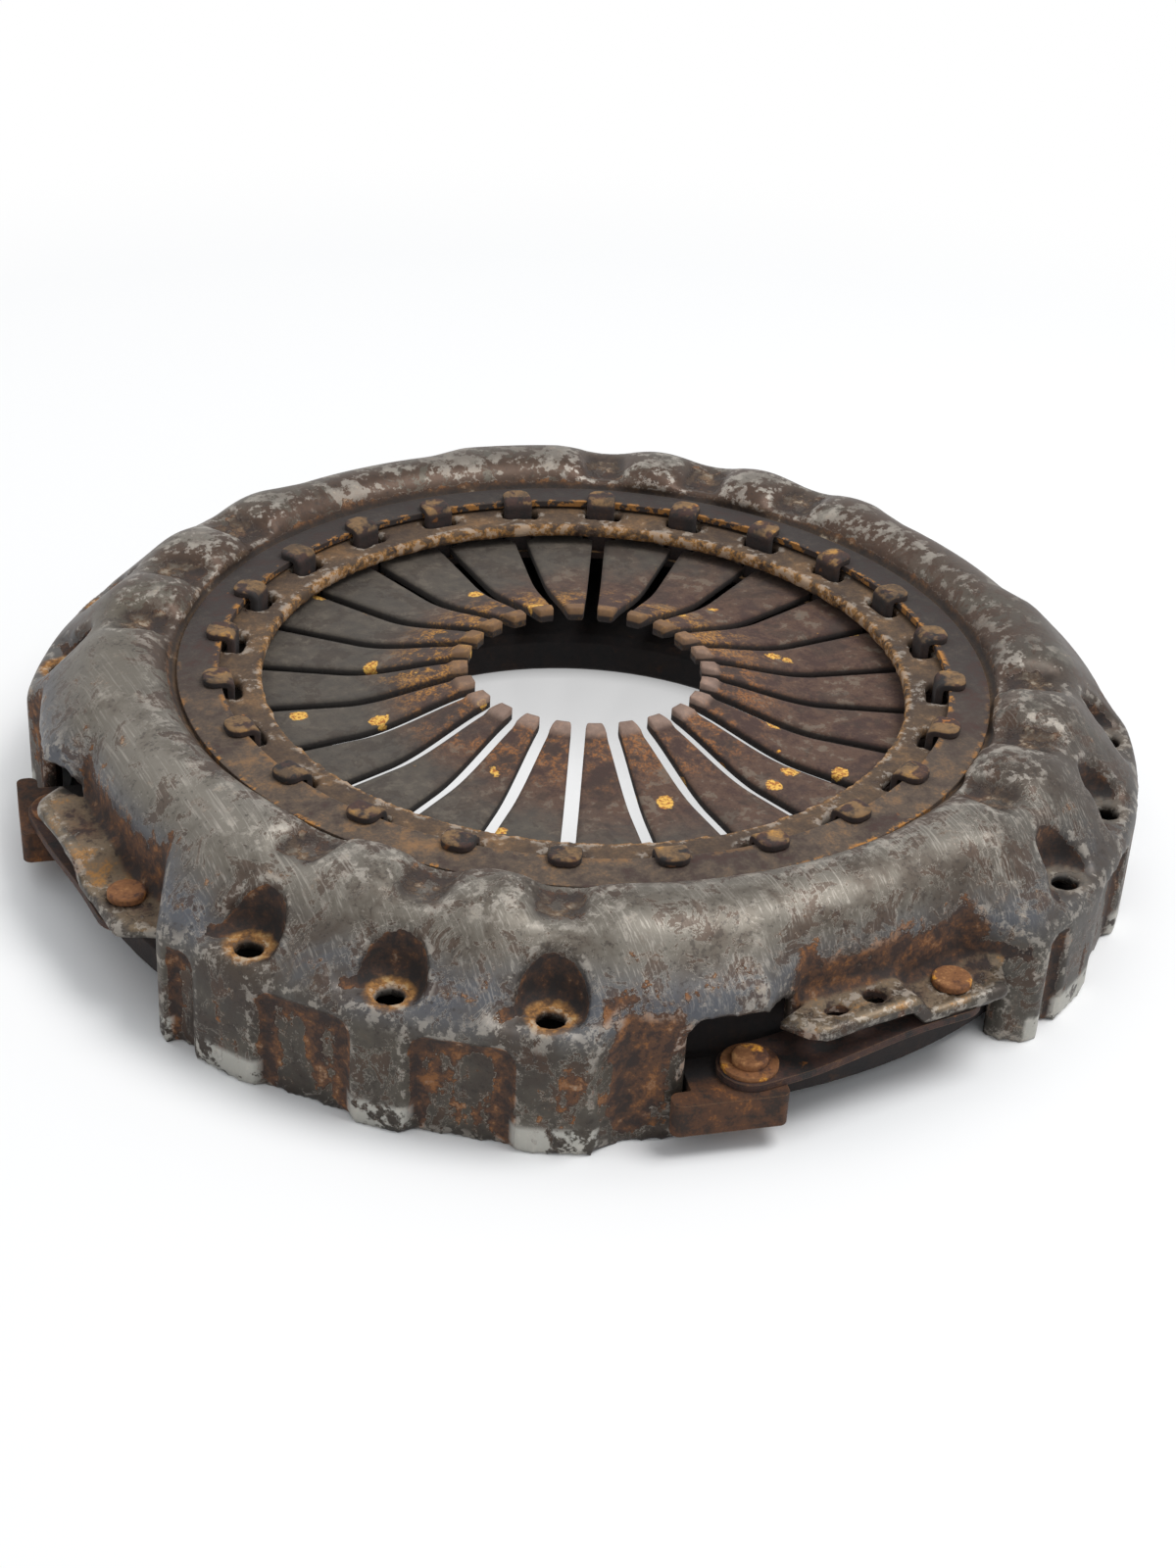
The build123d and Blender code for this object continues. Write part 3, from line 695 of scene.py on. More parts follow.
# %% Worn cover steel
def steel_greys(paint, front, far, right):
    """Smooth greys: warm and bright on the near humps, partly as painted sheen, blue down their slopes,
    darker low on the walls as painted shade, and dull and brown elsewhere, darker on the far side partly as
    painted shade.
    """
    broad = paint.noise(95 * MM, 1, 2, 0.5)
    calm = broad * 0.5 + paint.patch * 0.35 + paint.chip * 0.15
    top = paint.above(paint.z, 56 * MM, 78 * MM)
    steel = paint.mix(paint.above(calm, 0.42, 0.58), screen(74, 68, 60), screen(94, 87, 76))
    # Painted sheen: the tops of the near humps are drawn lighter, over rubbed steel.
    steel = paint.lay(front * paint.above(calm, 0.4, 0.56) * (0.1 + 0.7 * top), steel, 117, 112, 104)
    slope = paint.near(paint.z, 58 * MM, 17 * MM) * paint.above(broad * 0.7 + paint.patch * 0.3, 0.4, 0.54)
    steel = paint.lay(slope * (0.45 + front * 0.3), steel, 82, 87, 97)
    # Painted shade: the steel is drawn darker low on the wall, towards the flange.
    wall = paint.below(paint.z, 40 * MM, 56 * MM)
    steel = paint.mix(wall * (0.4 + 0.35 * paint.below(calm, 0.44, 0.56)), steel, STEEL_DARK)
    # The right side is darker steel; the far side is drawn darker as painted shade.
    steel = paint.lay((right * 0.45) | (far * 0.3), steel, 62, 60, 58)
    # A brown film, heavier on the far side, where it is partly painted shade.
    film = paint.below(broad * 0.5 + paint.patch * 0.5 - far * 0.06, 0.4, 0.54)
    return paint.lay(film * (0.25 + far * 0.3), steel, 84, 64, 52)


def old_stains(paint, steel, front, far):
    """Ragged brown stains with pale borders, mostly on the inner side of the crest."""
    ragged = paint.noise(17 * MM, 27, 6, 0.78, 0.6)
    inner = paint.below(paint.out, 180 * MM, 196 * MM)
    score = ragged + inner * 0.07 - paint.maps["ridge"] * 0.02 + far * 0.03
    score = score + (paint.near(paint.z, 72 * MM, 7 * MM) * front) * 0.02
    steel = paint.lay(paint.near(score, 0.532, 0.014) * front * 0.55, steel, 150, 144, 135)
    brown = paint.mix(paint.chip, screen(50, 40, 35), screen(92, 70, 56))
    return paint.mix(paint.above(score, 0.54, 0.555) * (0.65 + inner * 0.25), steel, brown)


def scuffs(paint, steel, front, far):
    """Fine scratches, rubbed specks and worn patches, then small dark pits and smudges."""
    patch, chip, grain, ridge = paint.patch, paint.chip, paint.grain, paint.maps["ridge"]
    top = paint.above(paint.z, 56 * MM, 78 * MM)
    along = paint.stretched((1, 0.03, 0.25), (0.5, 0.3, 0.9))
    scratch = paint.noise(0.9 * MM, 9, 2, 0.6, place=along)
    humps = front * paint.above(paint.z, 50 * MM, 66 * MM) * paint.above(patch, 0.42, 0.55)
    steel = paint.mix(paint.above(scratch, 0.5, 0.7) * 0.32 * humps, steel, STEEL_BRIGHT)
    speck = paint.noise(2.4 * MM, 23, 3, 0.7)
    rubbed = paint.above(speck * 0.4 + chip * 0.4 + ridge * 0.12 + patch * 0.2, 0.6, 0.66)
    steel = paint.lay(rubbed * (0.1 + 0.3 * top * front), steel, 160, 153, 142)
    worn = paint.above(paint.stain(0.55) + ridge * 0.03, 0.53, 0.56) * far * top
    steel = paint.lay(worn * 0.6, steel, 138, 132, 123)
    pit = paint.below(paint.cells(10 * MM, 31) + grain * 0.1, 0.1, 0.14)
    smudge = paint.above(speck * 0.55 + grain * 0.1 + (1 - patch) * 0.35, 0.55, 0.6)
    return paint.lay((smudge * 0.5) | (pit * 0.6), steel, 48, 42, 39)


def cover_steel(paint):
    """The steel itself: the near side is lighter, partly rubbed steel and partly painted sheen; the far side
    is darker, partly dull film and partly painted shade; the right side keeps its dull film.
    """
    # front and far split the cover by its side to the camera: front carries painted sheen and far painted
    # shade, over real wear and film.
    front = paint.below(paint.depth + paint.patch * 0.1, -0.06, 0.08)
    far = paint.above(paint.depth + paint.chip * 0.06, -0.02, 0.16)
    right = paint.above(paint.across + paint.chip * 0.06, 0.14, 0.24)
    steel = steel_greys(paint, front, far, right)
    return scuffs(paint, old_stains(paint, steel, front, far), front, far)


print("steel runs from", [round(c, 3) for c in STEEL_DARK], "to", [round(c, 3) for c in STEEL_BRIGHT])


# %% Rust on the cover
def cover_rust(paint, right):
    """Crisp rust, darker in pockets, corners and on the right, and smooth brown on the inner flange."""
    maps = paint.maps
    rust = paint.coat(paint.chip, (52, 37, 31), (84, 57, 40), (126, 82, 46))
    deep = rust_coat(paint, paint.chip - 0.04, paint.grain, SOOT_AND_SHADE, screen(50, 38, 33), screen(84, 58, 42))
    rust = paint.mix((maps["pocket"] * 0.9) | (maps["corner"] * 0.5) | (right * 0.7), rust, deep)
    smooth = paint.coat(paint.stain(0.6), (62, 48, 38), (88, 69, 51), (124, 92, 60), 0.08)
    return paint.mix(maps["rim"], rust, smooth)


def rust_score(paint):
    """How likely rust is at a point: high in the sheltered places, broken up by stains and drips."""
    maps = paint.maps
    wall = paint.below(paint.z, 34 * MM, 60 * MM)
    skirt = paint.near(paint.z, 46 * MM, 16 * MM)
    drip = paint.noise(9 * MM, 17, 3, 0.6, place=paint.stretched((1, 1, 0.16)))
    score = paint.stain(0.5) + maps["hollow"] * 0.1 + maps["corner"] * 0.08 + maps["panel"] * 0.17
    score = score + maps["pocket"] * 0.3 + maps["shelter"] * 0.17 + maps["rim"] * 0.3
    return score + wall * (drip - 0.5) * 0.7 + skirt * 0.015 - maps["ridge"] * 0.08 - maps["edge"] * 0.05


def rust_over_steel(paint, score, rusty, right):
    """Steel, a brown film where rust begins, then rust with a pale flaking border."""
    film = paint.lay(paint.above(score, 0.5, 0.6) * 0.45, cover_steel(paint), 84, 62, 48)
    colour = paint.mix(rusty, film, cover_rust(paint, right))
    border = paint.near(score, 0.565, 0.012) * paint.above(paint.grain, 0.44, 0.54) * (1 - paint.maps["rim"])
    return paint.lay(border * 0.55, colour, 158, 151, 141)


RUST_STARTS, RUST_FULL = 0.57, 0.6
print("rust begins at a score of", RUST_STARTS)


# %% Places with a colour of their own
def crest_marks(paint, colour):
    """A painted shadow in the gutter round the flange, tan notch floors, creases painted black as shade, and
    the orange lip of the opening, partly rust and partly painted highlight.
    """
    chip, out, z = paint.chip, paint.out, paint.z
    # Painted shadow: a dark line where the ring meets the crest, in the gutter round the flange.
    gutter_shadow = paint.near(out, 174.8 * MM, 3 * MM) * paint.below(z, 72.5 * MM, 75.5 * MM)
    colour = paint.mix(gutter_shadow * 0.9, colour, SOOT_AND_SHADE)
    notch = paint.maps["hollow"] * paint.above(z, 75 * MM, 77 * MM) * paint.below(out, 201 * MM, 207 * MM)
    floor = paint.coat(chip, (92, 70, 52), (138, 110, 80), (180, 168, 148))
    dusty = paint.above(notch * 0.35 + chip * 0.5 + paint.patch * 0.3, 0.47, 0.6)
    colour = paint.mix(dusty * 0.75, colour, floor)
    # Painted shade: the concave creases on top of the crest are drawn near black.
    crease = paint.maps["corner"] * paint.above(z, 73 * MM, 76 * MM) * paint.below(out, 204 * MM, 208 * MM)
    colour = paint.lay(crease * 0.8, colour, 44, 35, 31)
    # The orange lip of the opening is partly fresh rust and partly a painted highlight along its rounded
    # edge.
    lip = paint.near(out, 137 * MM, 2.6 * MM) * paint.above(chip, 0.42, 0.54)
    return paint.mix(lip * 0.7, colour, paint.mix(paint.grain, screen(128, 86, 46), screen(196, 140, 60)))


def wall_marks(paint, colour):
    """Tan dust on the flat strap tongues, worn bright bands round the feet, and bright edges, partly nicks
    and partly painted highlight.
    """
    chip, out, z = paint.chip, paint.out, paint.z
    level = paint.above(z, 36 * MM, 38 * MM) * paint.below(z, 46.8 * MM, 48 * MM) * (1 - paint.upright())
    shelf = level * paint.above(out, 215 * MM, 218 * MM) * paint.below(out, 233 * MM, 236 * MM)
    tan = paint.coat(paint.patch, (92, 78, 62), (118, 102, 82), (168, 120, 62))
    colour = paint.mix(shelf * paint.above(paint.stain(0.5), 0.4, 0.5) * 0.8, colour, tan)
    worn = paint.maps["band"] * paint.above(paint.stain(0.6), 0.44, 0.48)
    colour = paint.lay(worn * 0.75, colour, 190, 188, 180)
    # Bright edges: partly nicked steel, partly a painted highlight along each edge.
    nick_and_glint = paint.above(paint.maps["edge"], 0.35, 0.9) * paint.above(chip, 0.52, 0.58)
    return paint.mix(nick_and_glint * 0.35, colour, STEEL_BRIGHT)


def cover_finish():
    paint = CoverFinish("worn_cover_steel")
    right = paint.above(paint.across, 0.13, 0.18)
    score = rust_score(paint)
    rusty = paint.above(score, RUST_STARTS, RUST_FULL)
    colour = rust_over_steel(paint, score, rusty, right)
    ring = paint.maps["seat"] * paint.above(paint.chip, 0.28, 0.42)
    orange = paint.coat(paint.chip, (108, 76, 46), (158, 112, 60), (186, 150, 98))
    colour = paint.mix(ring, colour, paint.lay(right * 0.9, orange, 96, 92, 86))
    colour = wall_marks(paint, crest_marks(paint, colour))
    bare = (1 - rusty) * (1 - ring)
    rough = 0.86 - bare * (0.5 - 0.24 * paint.chip)
    relief = rusty * (0.25 + paint.chip * 0.6) + paint.chip * 0.1 + paint.grain * 0.08
    return paint.finish(colour, rough, bare * 0.65, relief, 0.6 * MM)


COVER_FINISH = cover_finish()
print("nodes in the cover's finish:", len(COVER_FINISH.node_tree.nodes))


# %% The cover takes its finish
def dress(mesh, name, finish, slot, body, *stands_for):
    """Makes a finished piece of a mesh and says which body it rides on and which plain parts it replaces."""
    mesh.materials.clear()
    mesh.materials.append(finish)
    mesh.shade_smooth()
    piece = bpy.data.objects.new(name, mesh)
    bpy.context.collection.objects.link(piece)
    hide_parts(*stands_for)
    if body:
        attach(piece, body)
    return piece


dress(cover_mesh, "cover_pressing", COVER_FINISH, "worn_cover_steel", "cover", "cover")
print("cover triangles:", sum(len(face.vertices) - 2 for face in cover_mesh.polygons))

# %% [markdown]
# The rings, the plate and the rivets are right as the solids have them, so they keep their shape and only
# get finishes. Each could have a material of its own from nothing; one recipe with different tones keeps
# them one family. A bevel node softens how their sharp edges catch the light, and the same node shows where
# an edge would be rubbed.

# %% One recipe for the inner parts
EDGE_SOFTNESS = 0.9 * MM


def part_finish(name, tones, bare=0.0, seed=0, flakes=0.5, fresh=FRESH_RUST, extra=None, spread=0.05):
    """Rust over steel; bare is the share of bright steel, flakes that of fresh rust, and extra adds more."""
    paint = Finish(name)
    soft, edge = paint.edges(EDGE_SOFTNESS)
    patch, chip, grain = scales(paint, seed)
    colour = rust_coat(paint, patch * 0.55 + chip * 0.45, grain, *tones, spread)
    bare_from, flakes_from = 0.72 - 0.4 * bare, 0.84 - 0.36 * flakes
    steel = paint.above(patch * 0.6 + chip * 0.4, bare_from, bare_from + 0.08)
    colour = paint.mix(steel, colour, paint.mix(chip, STEEL_DARK, STEEL_DULL))
    spot = paint.above(paint.noise(12 * MM, seed + 9, 3, 0.6), flakes_from, flakes_from + 0.06)
    colour = paint.mix(spot, colour, paint.mix(paint.above(grain, 0.4, 0.6), ORANGE_RUST, fresh))
    rubbed = paint.above(edge * 3 + chip * 0.5, 0.62, 0.9)
    colour = paint.mix(rubbed * 0.5, colour, TAN_RUST)
    if extra:
        colour = extra(paint, colour, patch, chip, grain)
    relief = chip * 0.6 + grain * 0.3 + spot * 0.3
    return paint.finish(colour, 0.86 - steel * 0.3, steel * 0.4, relief, 0.5 * MM, soft)


print("edges look rounded by", EDGE_SOFTNESS / MM, "mm")

# %% [markdown]
# Some parts have stains of their own: streaks along a ring's edge, rubbed hook tops, flakes on the spring's
# fingers; some also have painted shade on their far or upright sides. These could go into the recipe as more
# settings; a small function for each part is easier to follow and to leave out.

# %% Stains and painted shade of single parts
def orange_streaks_and_shade(paint, colour, patch, chip, grain):
    """Fresh rust creeps along the ring's inner edge, on the near side it stains the whole ring brown, and the
    far side is painted darker as shade.
    """
    x, y, _ = paint.axes()
    depth, tone = y * 0.87 + x * 0.48, patch * 0.6 + chip * 0.4
    near = paint.below(depth + patch * 0.1, -0.06, 0.06)
    # Painted shade: the far side of the ring is drawn darker, towards soot.
    colour = paint.mix(paint.above(depth + patch * 0.1, 0.02, 0.14) * 0.5, colour, SOOT_AND_SHADE)
    brown = rust_coat(paint, tone, grain, screen(66, 55, 47), screen(90, 75, 62), screen(134, 100, 66), 0.08)
    colour = paint.mix(near * paint.above(tone, 0.36, 0.5), colour, brown)
    inner = paint.near(paint.radius(), 155 * MM, 2.4 * MM) * paint.above(chip, 0.5, 0.55) * (1 - near * 0.8)
    outer = paint.near(paint.radius(), 171 * MM, 2 * MM) * paint.above(chip, 0.53, 0.59) * near
    return paint.mix(inner | outer, colour, paint.mix(grain, screen(128, 84, 46), screen(190, 132, 56)))


def hook_tops(paint, colour, patch, chip, grain):
    """The hooks' tops are rubbed tan and orange; their sides and undersides are painted dark as shade."""
    top = (1 - paint.upright()) * paint.above(paint.noise(11 * MM, 77, 3, 0.6), 0.45, 0.53)
    tones = screen(92, 72, 52), screen(136, 106, 70), screen(190, 140, 68)
    warm = rust_coat(paint, patch * 0.6 + chip * 0.4, grain, *tones)
    colour = paint.mix(top * 0.75, colour, warm)
    # Painted shade: upright faces and undersides are drawn towards soot.
    return paint.mix(paint.upright() * 0.6, colour, SOOT_AND_SHADE)


def plate_stains(paint, colour, patch, chip, grain):
    """Only the lugs keep their rust colours: the plate's body inside them is drawn near black."""
    inside = paint.below(paint.radius(), 222 * MM, 229 * MM)
    return paint.mix(inside * 0.92, colour, paint.mix(chip, screen(20, 20, 23), screen(40, 36, 36)))


def finger_steel(paint, colour, x, y, radius, patch, chip):
    """Grey-green on the outer and far fingers, brown towards the tips, with pale and dark stains."""
    side = x * 2.2 - y * 1.2 + patch * 0.5
    brown = paint.above(side + paint.below(radius, 70 * MM, 130 * MM) * 0.35, 0.2, 0.55)
    colour = paint.mix((1 - brown) * 0.8, colour, paint.mix(chip, STEEL_DARK, screen(94, 90, 80)))
    pale = paint.above(patch * 0.5 + chip * 0.5, 0.54, 0.58) * (0.35 + 0.65 * brown)
    colour = paint.mix(pale * 0.45, colour, screen(118, 110, 99))
    dark = paint.above(paint.noise(20 * MM, 44, 5, 0.72, 0.4), 0.53, 0.57)
    return paint.mix(dark * 0.45, colour, screen(50, 40, 34))


def spring_stains_and_shade(paint, colour, patch, chip, grain):
    """Orange rust near the tips, sides painted dark as shade, yellow flakes here and there, and tips rubbed
    bright.
    """
    x, y, z = paint.axes()
    radius = paint.radius()
    colour = finger_steel(paint, colour, x, y, radius, patch, chip)
    far = paint.above(x * 0.1 + y, -0.03, 0.03)
    inner = paint.below(radius + patch * 0.05, 96 * MM, 118 * MM)
    inner = inner * paint.above(chip * 0.5 + patch * 0.5, 0.48, 0.55)
    golden = paint.mix(far, ORANGE_RUST, screen(186, 132, 54))
    rust = paint.mix(paint.above(grain, 0.42, 0.58), BROWN_RUST, golden)
    colour = paint.mix(inner * (0.55 + far * 0.25), colour, rust)
    # Painted shade: the fingers' sides and undersides, along the slots, are drawn towards soot.
    colour = paint.mix(paint.upright() * 0.8, colour, SOOT_AND_SHADE)
    flake = paint.below(paint.cells(27 * MM, 5) + chip * 0.3, 0.27, 0.3)
    yellow = paint.mix(paint.above(grain, 0.4, 0.56), ORANGE_RUST, screen(226, 178, 84))
    colour = paint.mix(flake, colour, yellow)
    tip = paint.below(radius, 56 * MM, 59 * MM) * paint.above(z, 69 * MM, 70 * MM)
    bright = paint.mix(far, screen(176, 152, 138), screen(146, 110, 66))
    return paint.mix(tip * 0.75, colour, paint.mix(chip, screen(104, 78, 64), bright))


print("stains:", [stain.__name__ for stain in (orange_streaks_and_shade, hook_tops, plate_stains, spring_stains_and_shade)])

# %% The finishes, and the parts that take them
PALETTES = {
    "spring_steel": {"tones": (DARK_RUST, screen(84, 62, 50), BROWN_RUST), "bare": 0.3, "seed": 40,
                     "flakes": 0.3, "extra": spring_stains_and_shade},
    "ring_steel": {"tones": (screen(78, 64, 52), screen(100, 83, 66), screen(124, 98, 72)), "bare": 0.2,
                   "seed": 50, "flakes": 0.3, "fresh": ORANGE_RUST, "spread": 0.1},
    "preload_steel": {"tones": (DARK_RUST, STEEL_DARK, screen(84, 68, 58)), "bare": 0.35, "seed": 60,
                      "flakes": 0.25, "fresh": ORANGE_RUST, "extra": orange_streaks_and_shade, "spread": 0.1},
    "hook_steel": {"tones": (SOOT_AND_SHADE, DARK_RUST, BROWN_RUST), "bare": 0.1, "seed": 70, "fresh": ORANGE_RUST,
                   "extra": hook_tops},
    "plate_iron": {"tones": (screen(42, 29, 22), screen(78, 49, 30), screen(134, 84, 40)), "bare": 0.05,
                   "seed": 80, "fresh": ORANGE_RUST, "extra": plate_stains},
    "strap_steel": {"tones": (SOOT_AND_SHADE, DARK_RUST, BROWN_RUST), "bare": 0.1, "seed": 90, "fresh": ORANGE_RUST},
    "rivet_steel": {"tones": (screen(76, 48, 34), screen(128, 84, 50), screen(172, 124, 78)), "bare": 0.05,
                    "seed": 95, "flakes": 0.65},
}
FINISHES = {name: part_finish(name, **palette) for name, palette in PALETTES.items()}


def finish_cad_parts():
    """Gives each solid the finish that is named after the material it came with."""
    dressed = 0
    for part in nodes.values():
        finish = FINISHES.get(part.active_material.name.split(".")[0])
        if finish:
            dressed += 1
            for place in part.material_slots:
                place.material = finish
    return dressed


print("finished CAD parts:", finish_cad_parts())

# %% [markdown]
# A Geometry Nodes tree is a small machine with named inputs. Repeated parts are made by one machine each:
# one finger becomes twenty-four, one leaf becomes a strap of three. An array modifier could copy them too,
# but a tree also shapes the one that is copied. The helpers build a tree in a few lines, run it once and
# keep plain mesh.

# %% Building and running a node tree
class Machine:
    def __init__(self, name, **inputs):
        self.tree = bpy.data.node_groups.new(name, "GeometryNodeTree")
        self.inputs = inputs
        self.sockets = {}
        for label, value in inputs.items():
            kind = "NodeSocketMaterial" if isinstance(value, bpy.types.Material) else "NodeSocketFloat"
            kind = "NodeSocketInt" if isinstance(value, int) else kind
            made = self.tree.interface.new_socket(label, in_out="INPUT", socket_type=kind)
            self.sockets[label] = made.identifier
        self.tree.interface.new_socket("shape", in_out="OUTPUT", socket_type="NodeSocketGeometry")
        self.entry = self.tree.nodes.new("NodeGroupInput")
        self.exit = self.tree.nodes.new("NodeGroupOutput")

    def get(self, label):
        return Value(self, self.entry.outputs[label])

    node, feed, value = Finish.node, Finish.feed, Finish.value

    def run(self, shape, label):
        repeated = self.value("GeometryNodeRealizeInstances", {}, {0: shape})
        coated = self.value("GeometryNodeSetMaterial", {}, {0: repeated, "Material": self.get("finish")})
        self.feed(self.exit.inputs["shape"], coated)
        piece = bpy.data.objects.new(label, bpy.data.meshes.new(label))
        bpy.context.collection.objects.link(piece)
        live = piece.modifiers.new("machine", "NODES")
        live.node_group = self.tree
        for name, identifier in self.sockets.items():
            live[identifier] = self.inputs[name]
        mesh = bpy.data.meshes.new_from_object(piece.evaluated_get(bpy.context.evaluated_depsgraph_get()))
        bpy.data.objects.remove(piece)
        return mesh

    def split(self, vector):
        parts = self.node("ShaderNodeSeparateXYZ", {}, {0: vector})
        return [Value(self, socket) for socket in parts.outputs]

    def join(self, x, y, z):
        return self.value("ShaderNodeCombineXYZ", {}, {0: x, 1: y, 2: z})

    def place(self):
        return self.value("GeometryNodeInputPosition", {}, {})

    def move(self, shape, position):
        return self.value("GeometryNodeSetPosition", {}, {"Geometry": shape, "Position": position})

    def ease(self, value, low, high):
        sockets = {"Value": value, "From Min": low, "From Max": high}
        return self.value("ShaderNodeMapRange", {"interpolation_type": "SMOOTHSTEP"}, sockets)

    def math(self, operation, *values):
        return self.value("ShaderNodeMath", {"operation": operation}, dict(enumerate(values)))


print("machine tools ready")

# %% [markdown]
# The diaphragm spring is a steel dish slotted into twenty-four fingers. The thrust bearing pushes the
# finger tips. It could be modelled flat and cut, but its shape is a rule: a finger's width and height
# depend only on its radius. So one finger is a block of points placed by that rule, copied round the axis,
# and the plain outer belt is swept.

# %% The spring's rule
SPRING = {
    "tip": 50 * MM, "window": 144.5 * MM, "root": 156 * MM, "belt": 162.5 * MM, "rim": 203 * MM,
    "thick": 4.5 * MM, "slot": 6 * MM, "gap": 16 * MM, "flat": 60.5 * MM,
    "rise": 10.8 * MM, "rise_from": 44 * MM, "rise_to": 104 * MM, "fall": 9 * MM,
    "pad": 1.4 * MM, "pad_from": 56.5 * MM, "pad_to": 58.5 * MM, "edge_drop": 0.35 * MM,
}
FINGERS = 24
FINGER_HALF = pi / FINGERS


def spring_height(make, radius):
    """The height of the spring's top, and of the raised pad that the release bearing rubs on."""
    rise = 1 - make.ease(radius, SPRING["rise_from"], SPRING["rise_to"])
    slope = SPRING["fall"] / (SPRING["rim"] - SPRING["belt"])
    fall = make.math("MAXIMUM", radius - SPRING["belt"], 0.0) * slope
    pad = 1 - make.ease(radius, SPRING["pad_from"], SPRING["pad_to"])
    return SPRING["flat"] + rise * SPRING["rise"] - fall, pad * SPRING["pad"]


print("each finger spans", round(360 / FINGERS, 1), "degrees")

# %% One finger, twenty-four times
def finger_shape(make, slot, thick):
    """A block of points laid out as one finger: narrow at the tip, cut in at the root, with soft edges."""
    finger = {"Size": (1, 1, 1), "Vertices X": 72, "Vertices Y": 7, "Vertices Z": 3}
    block = make.value("GeometryNodeMeshCube", {}, finger)
    along, across, up = make.split(make.place())
    radius = SPRING["tip"] + (along + 0.5) * (SPRING["root"] + 3 * MM - SPRING["tip"])
    window = make.ease(radius, SPRING["window"] - 1 * MM, SPRING["window"] + 1 * MM)
    side = slot / 2 + window * ((SPRING["gap"] - SPRING["slot"]) / 2)
    half = FINGER_HALF - make.math("ARCSINE", side / radius)
    nose = 1 - 0.12 * (1 - make.ease(radius, SPRING["tip"], SPRING["tip"] + 2.5 * MM))
    edge = make.math("ABSOLUTE", across) * 2
    angle = make.math("SIGN", across) * half * nose * (edge ** 0.55)
    round_edge = make.ease(edge, 0.7, 1.0) * (up * 2) * (-SPRING["edge_drop"])
    top, pad = spring_height(make, radius)
    z = top + (up - 0.5) * thick + round_edge + pad * make.math("MAXIMUM", up * 2, 0.0)
    x, y = radius * make.math("COSINE", angle), radius * make.math("SINE", angle)
    return make.move(block, make.join(x, y, z))


def build_fingers(finish):
    """Copies the finger round the axis: one on each point of a circle that is drawn in to the axis."""
    make = Machine("spring machine", slot=SPRING["slot"], thick=SPRING["thick"], count=FINGERS, finish=finish)
    finger = finger_shape(make, make.get("slot"), make.get("thick"))
    circle = make.value("GeometryNodeMeshCircle", {}, {"Vertices": make.get("count"), "Radius": 10 * MM})
    axis = make.move(circle, make.join(0.0, 0.0, 0.0))
    turn = make.value("GeometryNodeInputIndex", {}, {}) * (2 * pi / FINGERS) + FINGER_HALF
    copies = {"Points": axis, "Instance": finger, "Rotation": make.join(0.0, 0.0, turn)}
    return make.run(make.value("GeometryNodeInstanceOnPoints", {}, copies), "fingers")


FINGER_MESH = build_fingers(FINISHES["spring_steel"])
print("finger points:", len(FINGER_MESH.vertices))

# %% The belt, and the whole spring
BELT_STEPS = 144


def build_belt():
    """The belt and rim, swept round the axis as one closed ring of nine points."""
    thick, flat, root, belt, rim = [SPRING[key] for key in ("thick", "flat", "root", "belt", "rim")]
    low = flat - SPRING["fall"]
    ring = [(root, flat - 0.3 * MM), (root + 0.3 * MM, flat), (belt, flat), (rim - 0.7 * MM, low + 0.15 * MM),
            (rim - 0.1 * MM, low - 0.5 * MM), (rim - 0.6 * MM, low - thick + 0.1 * MM),
            (rim - 1.6 * MM, low - thick - 0.1 * MM), (belt - 0.5 * MM, flat - thick), (root, flat - thick)]
    turns = [2 * pi * step / BELT_STEPS for step in range(BELT_STEPS)]
    verts = [(r * cos(turn), r * sin(turn), z) for turn in turns for r, z in ring]
    size = len(ring)
    faces = []
    for step in range(BELT_STEPS):
        here, there = step * size, (step + 1) % BELT_STEPS * size
        for k in range(size):
            after = (k + 1) % size
            faces.append((here + k, here + after, there + after, there + k))
    mesh = bpy.data.meshes.new("belt")
    mesh.from_pydata(verts, [], faces)
    return mesh


def joined(meshes, name):
    """One mesh of several, with every face turned outwards."""
    shape = bmesh.new()
    for mesh in meshes:
        shape.from_mesh(mesh)
    bmesh.ops.recalc_face_normals(shape, faces=shape.faces)
    out = bpy.data.meshes.new(name)
    shape.to_mesh(out)
    shape.free()
    return out


spring_mesh = joined([FINGER_MESH, build_belt()], "diaphragm")
spring_finish = FINISHES["spring_steel"]
diaphragm = dress(spring_mesh, "diaphragm", spring_finish, "spring_steel", None, "diaphragm_spring")
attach(diaphragm, "cover")
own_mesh(diaphragm)
print("spring triangles:", sum(len(face.vertices) - 2 for face in spring_mesh.polygons))

# %% [markdown]
# Three thin leaves, riveted at both ends, let the plate rise straight while they carry the engine's torque.
# A leaf could be cut from a bent sheet; a block of points bent by one smooth step is lighter and bends
# evenly.

# %% Strap leaves
STRAP = {
    "span": 87.2 * MM, "end": 12 * MM, "width": 24 * MM, "leaf": 1.1 * MM, "drop": 6.1 * MM, "top": 33.5 * MM,
    "straight": 14 * MM, "grip": 6 * MM,
}
LEAVES = 3
LEAF_SHARE = 0.97
END_ROUND = 1.04
RIVET_RADIUS = 223.5 * MM
STRAP_TURN = radians(45.25)


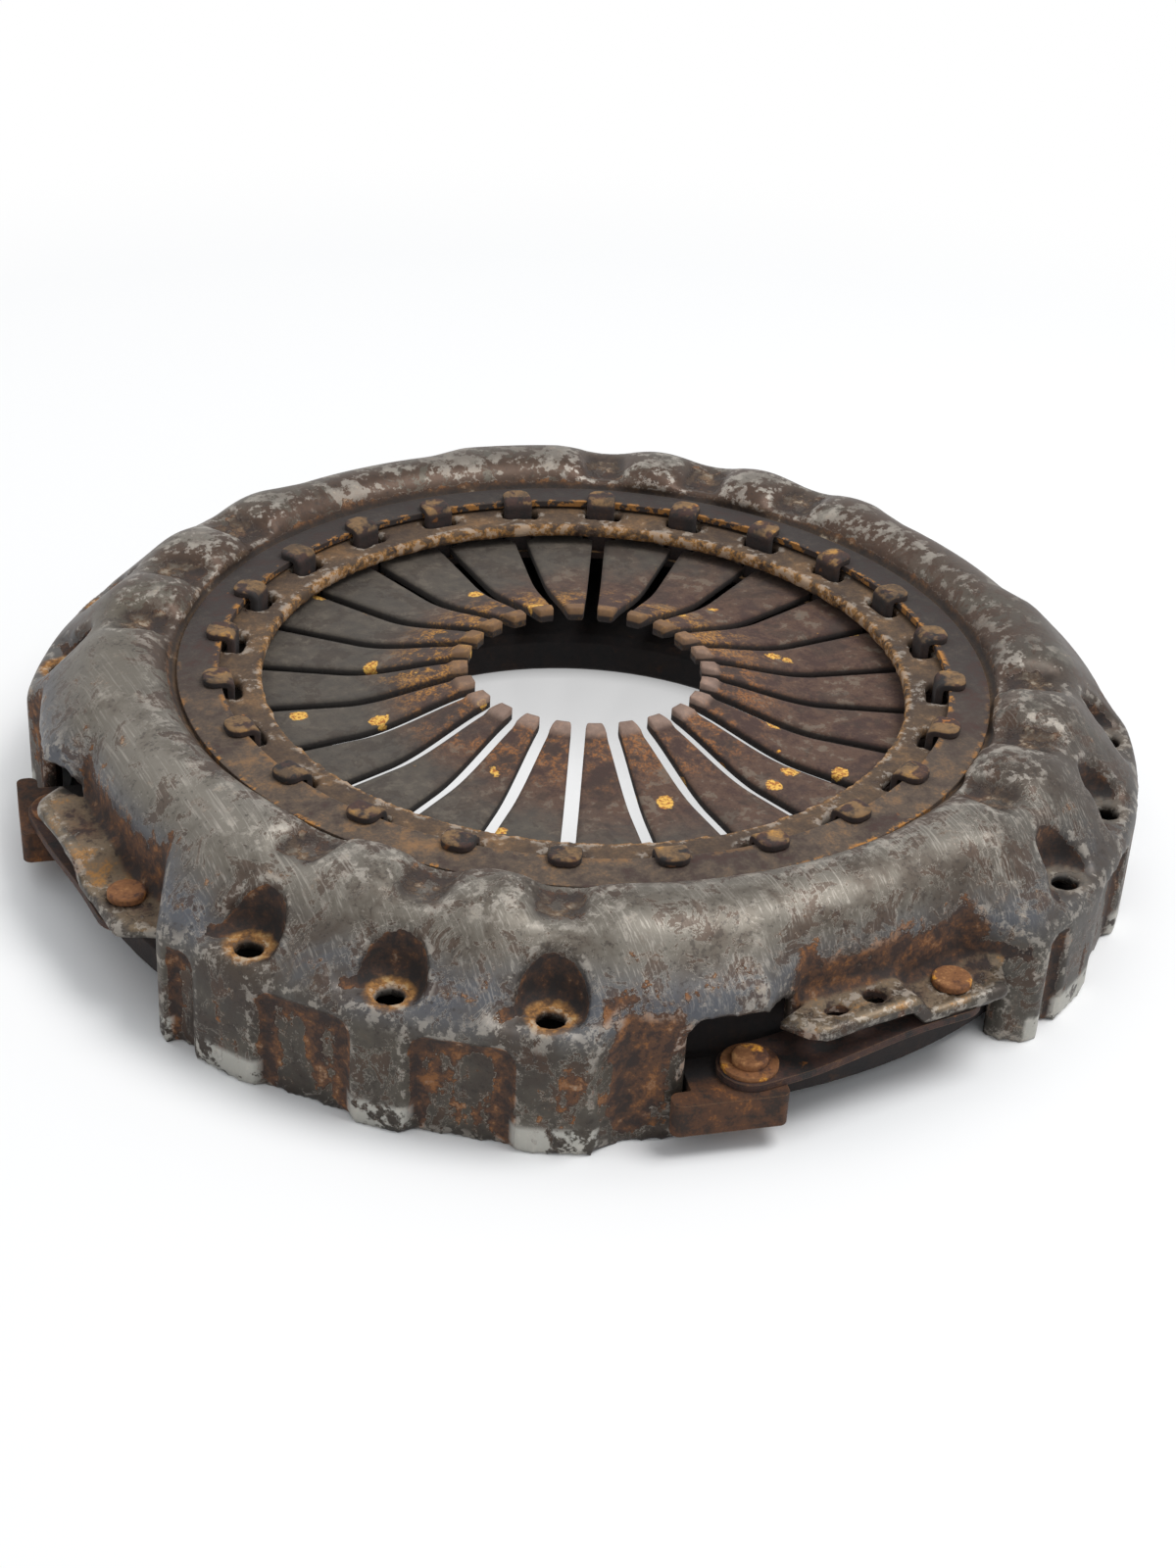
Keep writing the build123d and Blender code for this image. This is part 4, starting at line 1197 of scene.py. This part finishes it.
def build_strap(finish):
    """A stack of leaves, rounded at both ends and stepped down from the tongue to the lug."""
    make = Machine("strap machine", leaf=STRAP["leaf"], count=LEAVES, finish=finish)
    leaf_size = {"Size": (1, 1, 1), "Vertices X": 9, "Vertices Y": 61, "Vertices Z": 2}
    block = make.value("GeometryNodeMeshCube", {}, leaf_size)
    across, along, up = make.split(make.place())
    half, bend = STRAP["span"] / 2, STRAP["span"] / 2 - STRAP["straight"]
    y = along * (2 * (half + STRAP["end"]))
    past = make.math("MAXIMUM", make.math("ABSOLUTE", y) - half, 0.0) / STRAP["end"]
    narrow = make.math("SQRT", END_ROUND - past * past)
    step = make.ease(y, -bend, bend) - 1
    z = up * make.get("leaf") * LEAF_SHARE + step * STRAP["drop"]
    bent = make.move(block, make.join(across * STRAP["width"] * narrow, y, z))
    stack = {"Count": make.get("count"), "Offset": (0, 0, -STRAP["leaf"])}
    line = make.value("GeometryNodeMeshLine", {}, stack)
    leaves = make.value("GeometryNodeInstanceOnPoints", {}, {"Points": line, "Instance": bent})
    return make.run(leaves, "leaves")


def fit_straps():
    """Puts a strap at each tongue, between its rivets on the cover and on the plate."""
    template = build_strap(FINISHES["strap_steel"])
    chord = (RIVET_RADIUS ** 2 - (STRAP["span"] / 2) ** 2) ** 0.5
    for number, middle in enumerate(GROUP_MIDDLES, 1):
        turn = Matrix.Rotation(middle + STRAP_TURN, 4, "Z")
        mesh = template.copy()
        mesh.transform(turn @ Matrix.Translation((chord, 0, STRAP["top"] - STRAP["leaf"] / 2)))
        leaves = [f"strap_{number}_leaf_{leaf}" for leaf in range(1, LEAVES + 1)]
        strap = dress(mesh, f"strap_{number}", FINISHES["strap_steel"], "strap_steel", None, *leaves)
        mesh.shade_flat()
        held = STRAP["span"] / 2 - STRAP["grip"]
        tongue_end, lug_end = [tuple(turn @ Vector((chord, y, STRAP["top"]))) for y in (held, -held)]
        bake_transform(strap)


fit_straps()
print("straps fitted:", len(GROUP_MIDDLES))
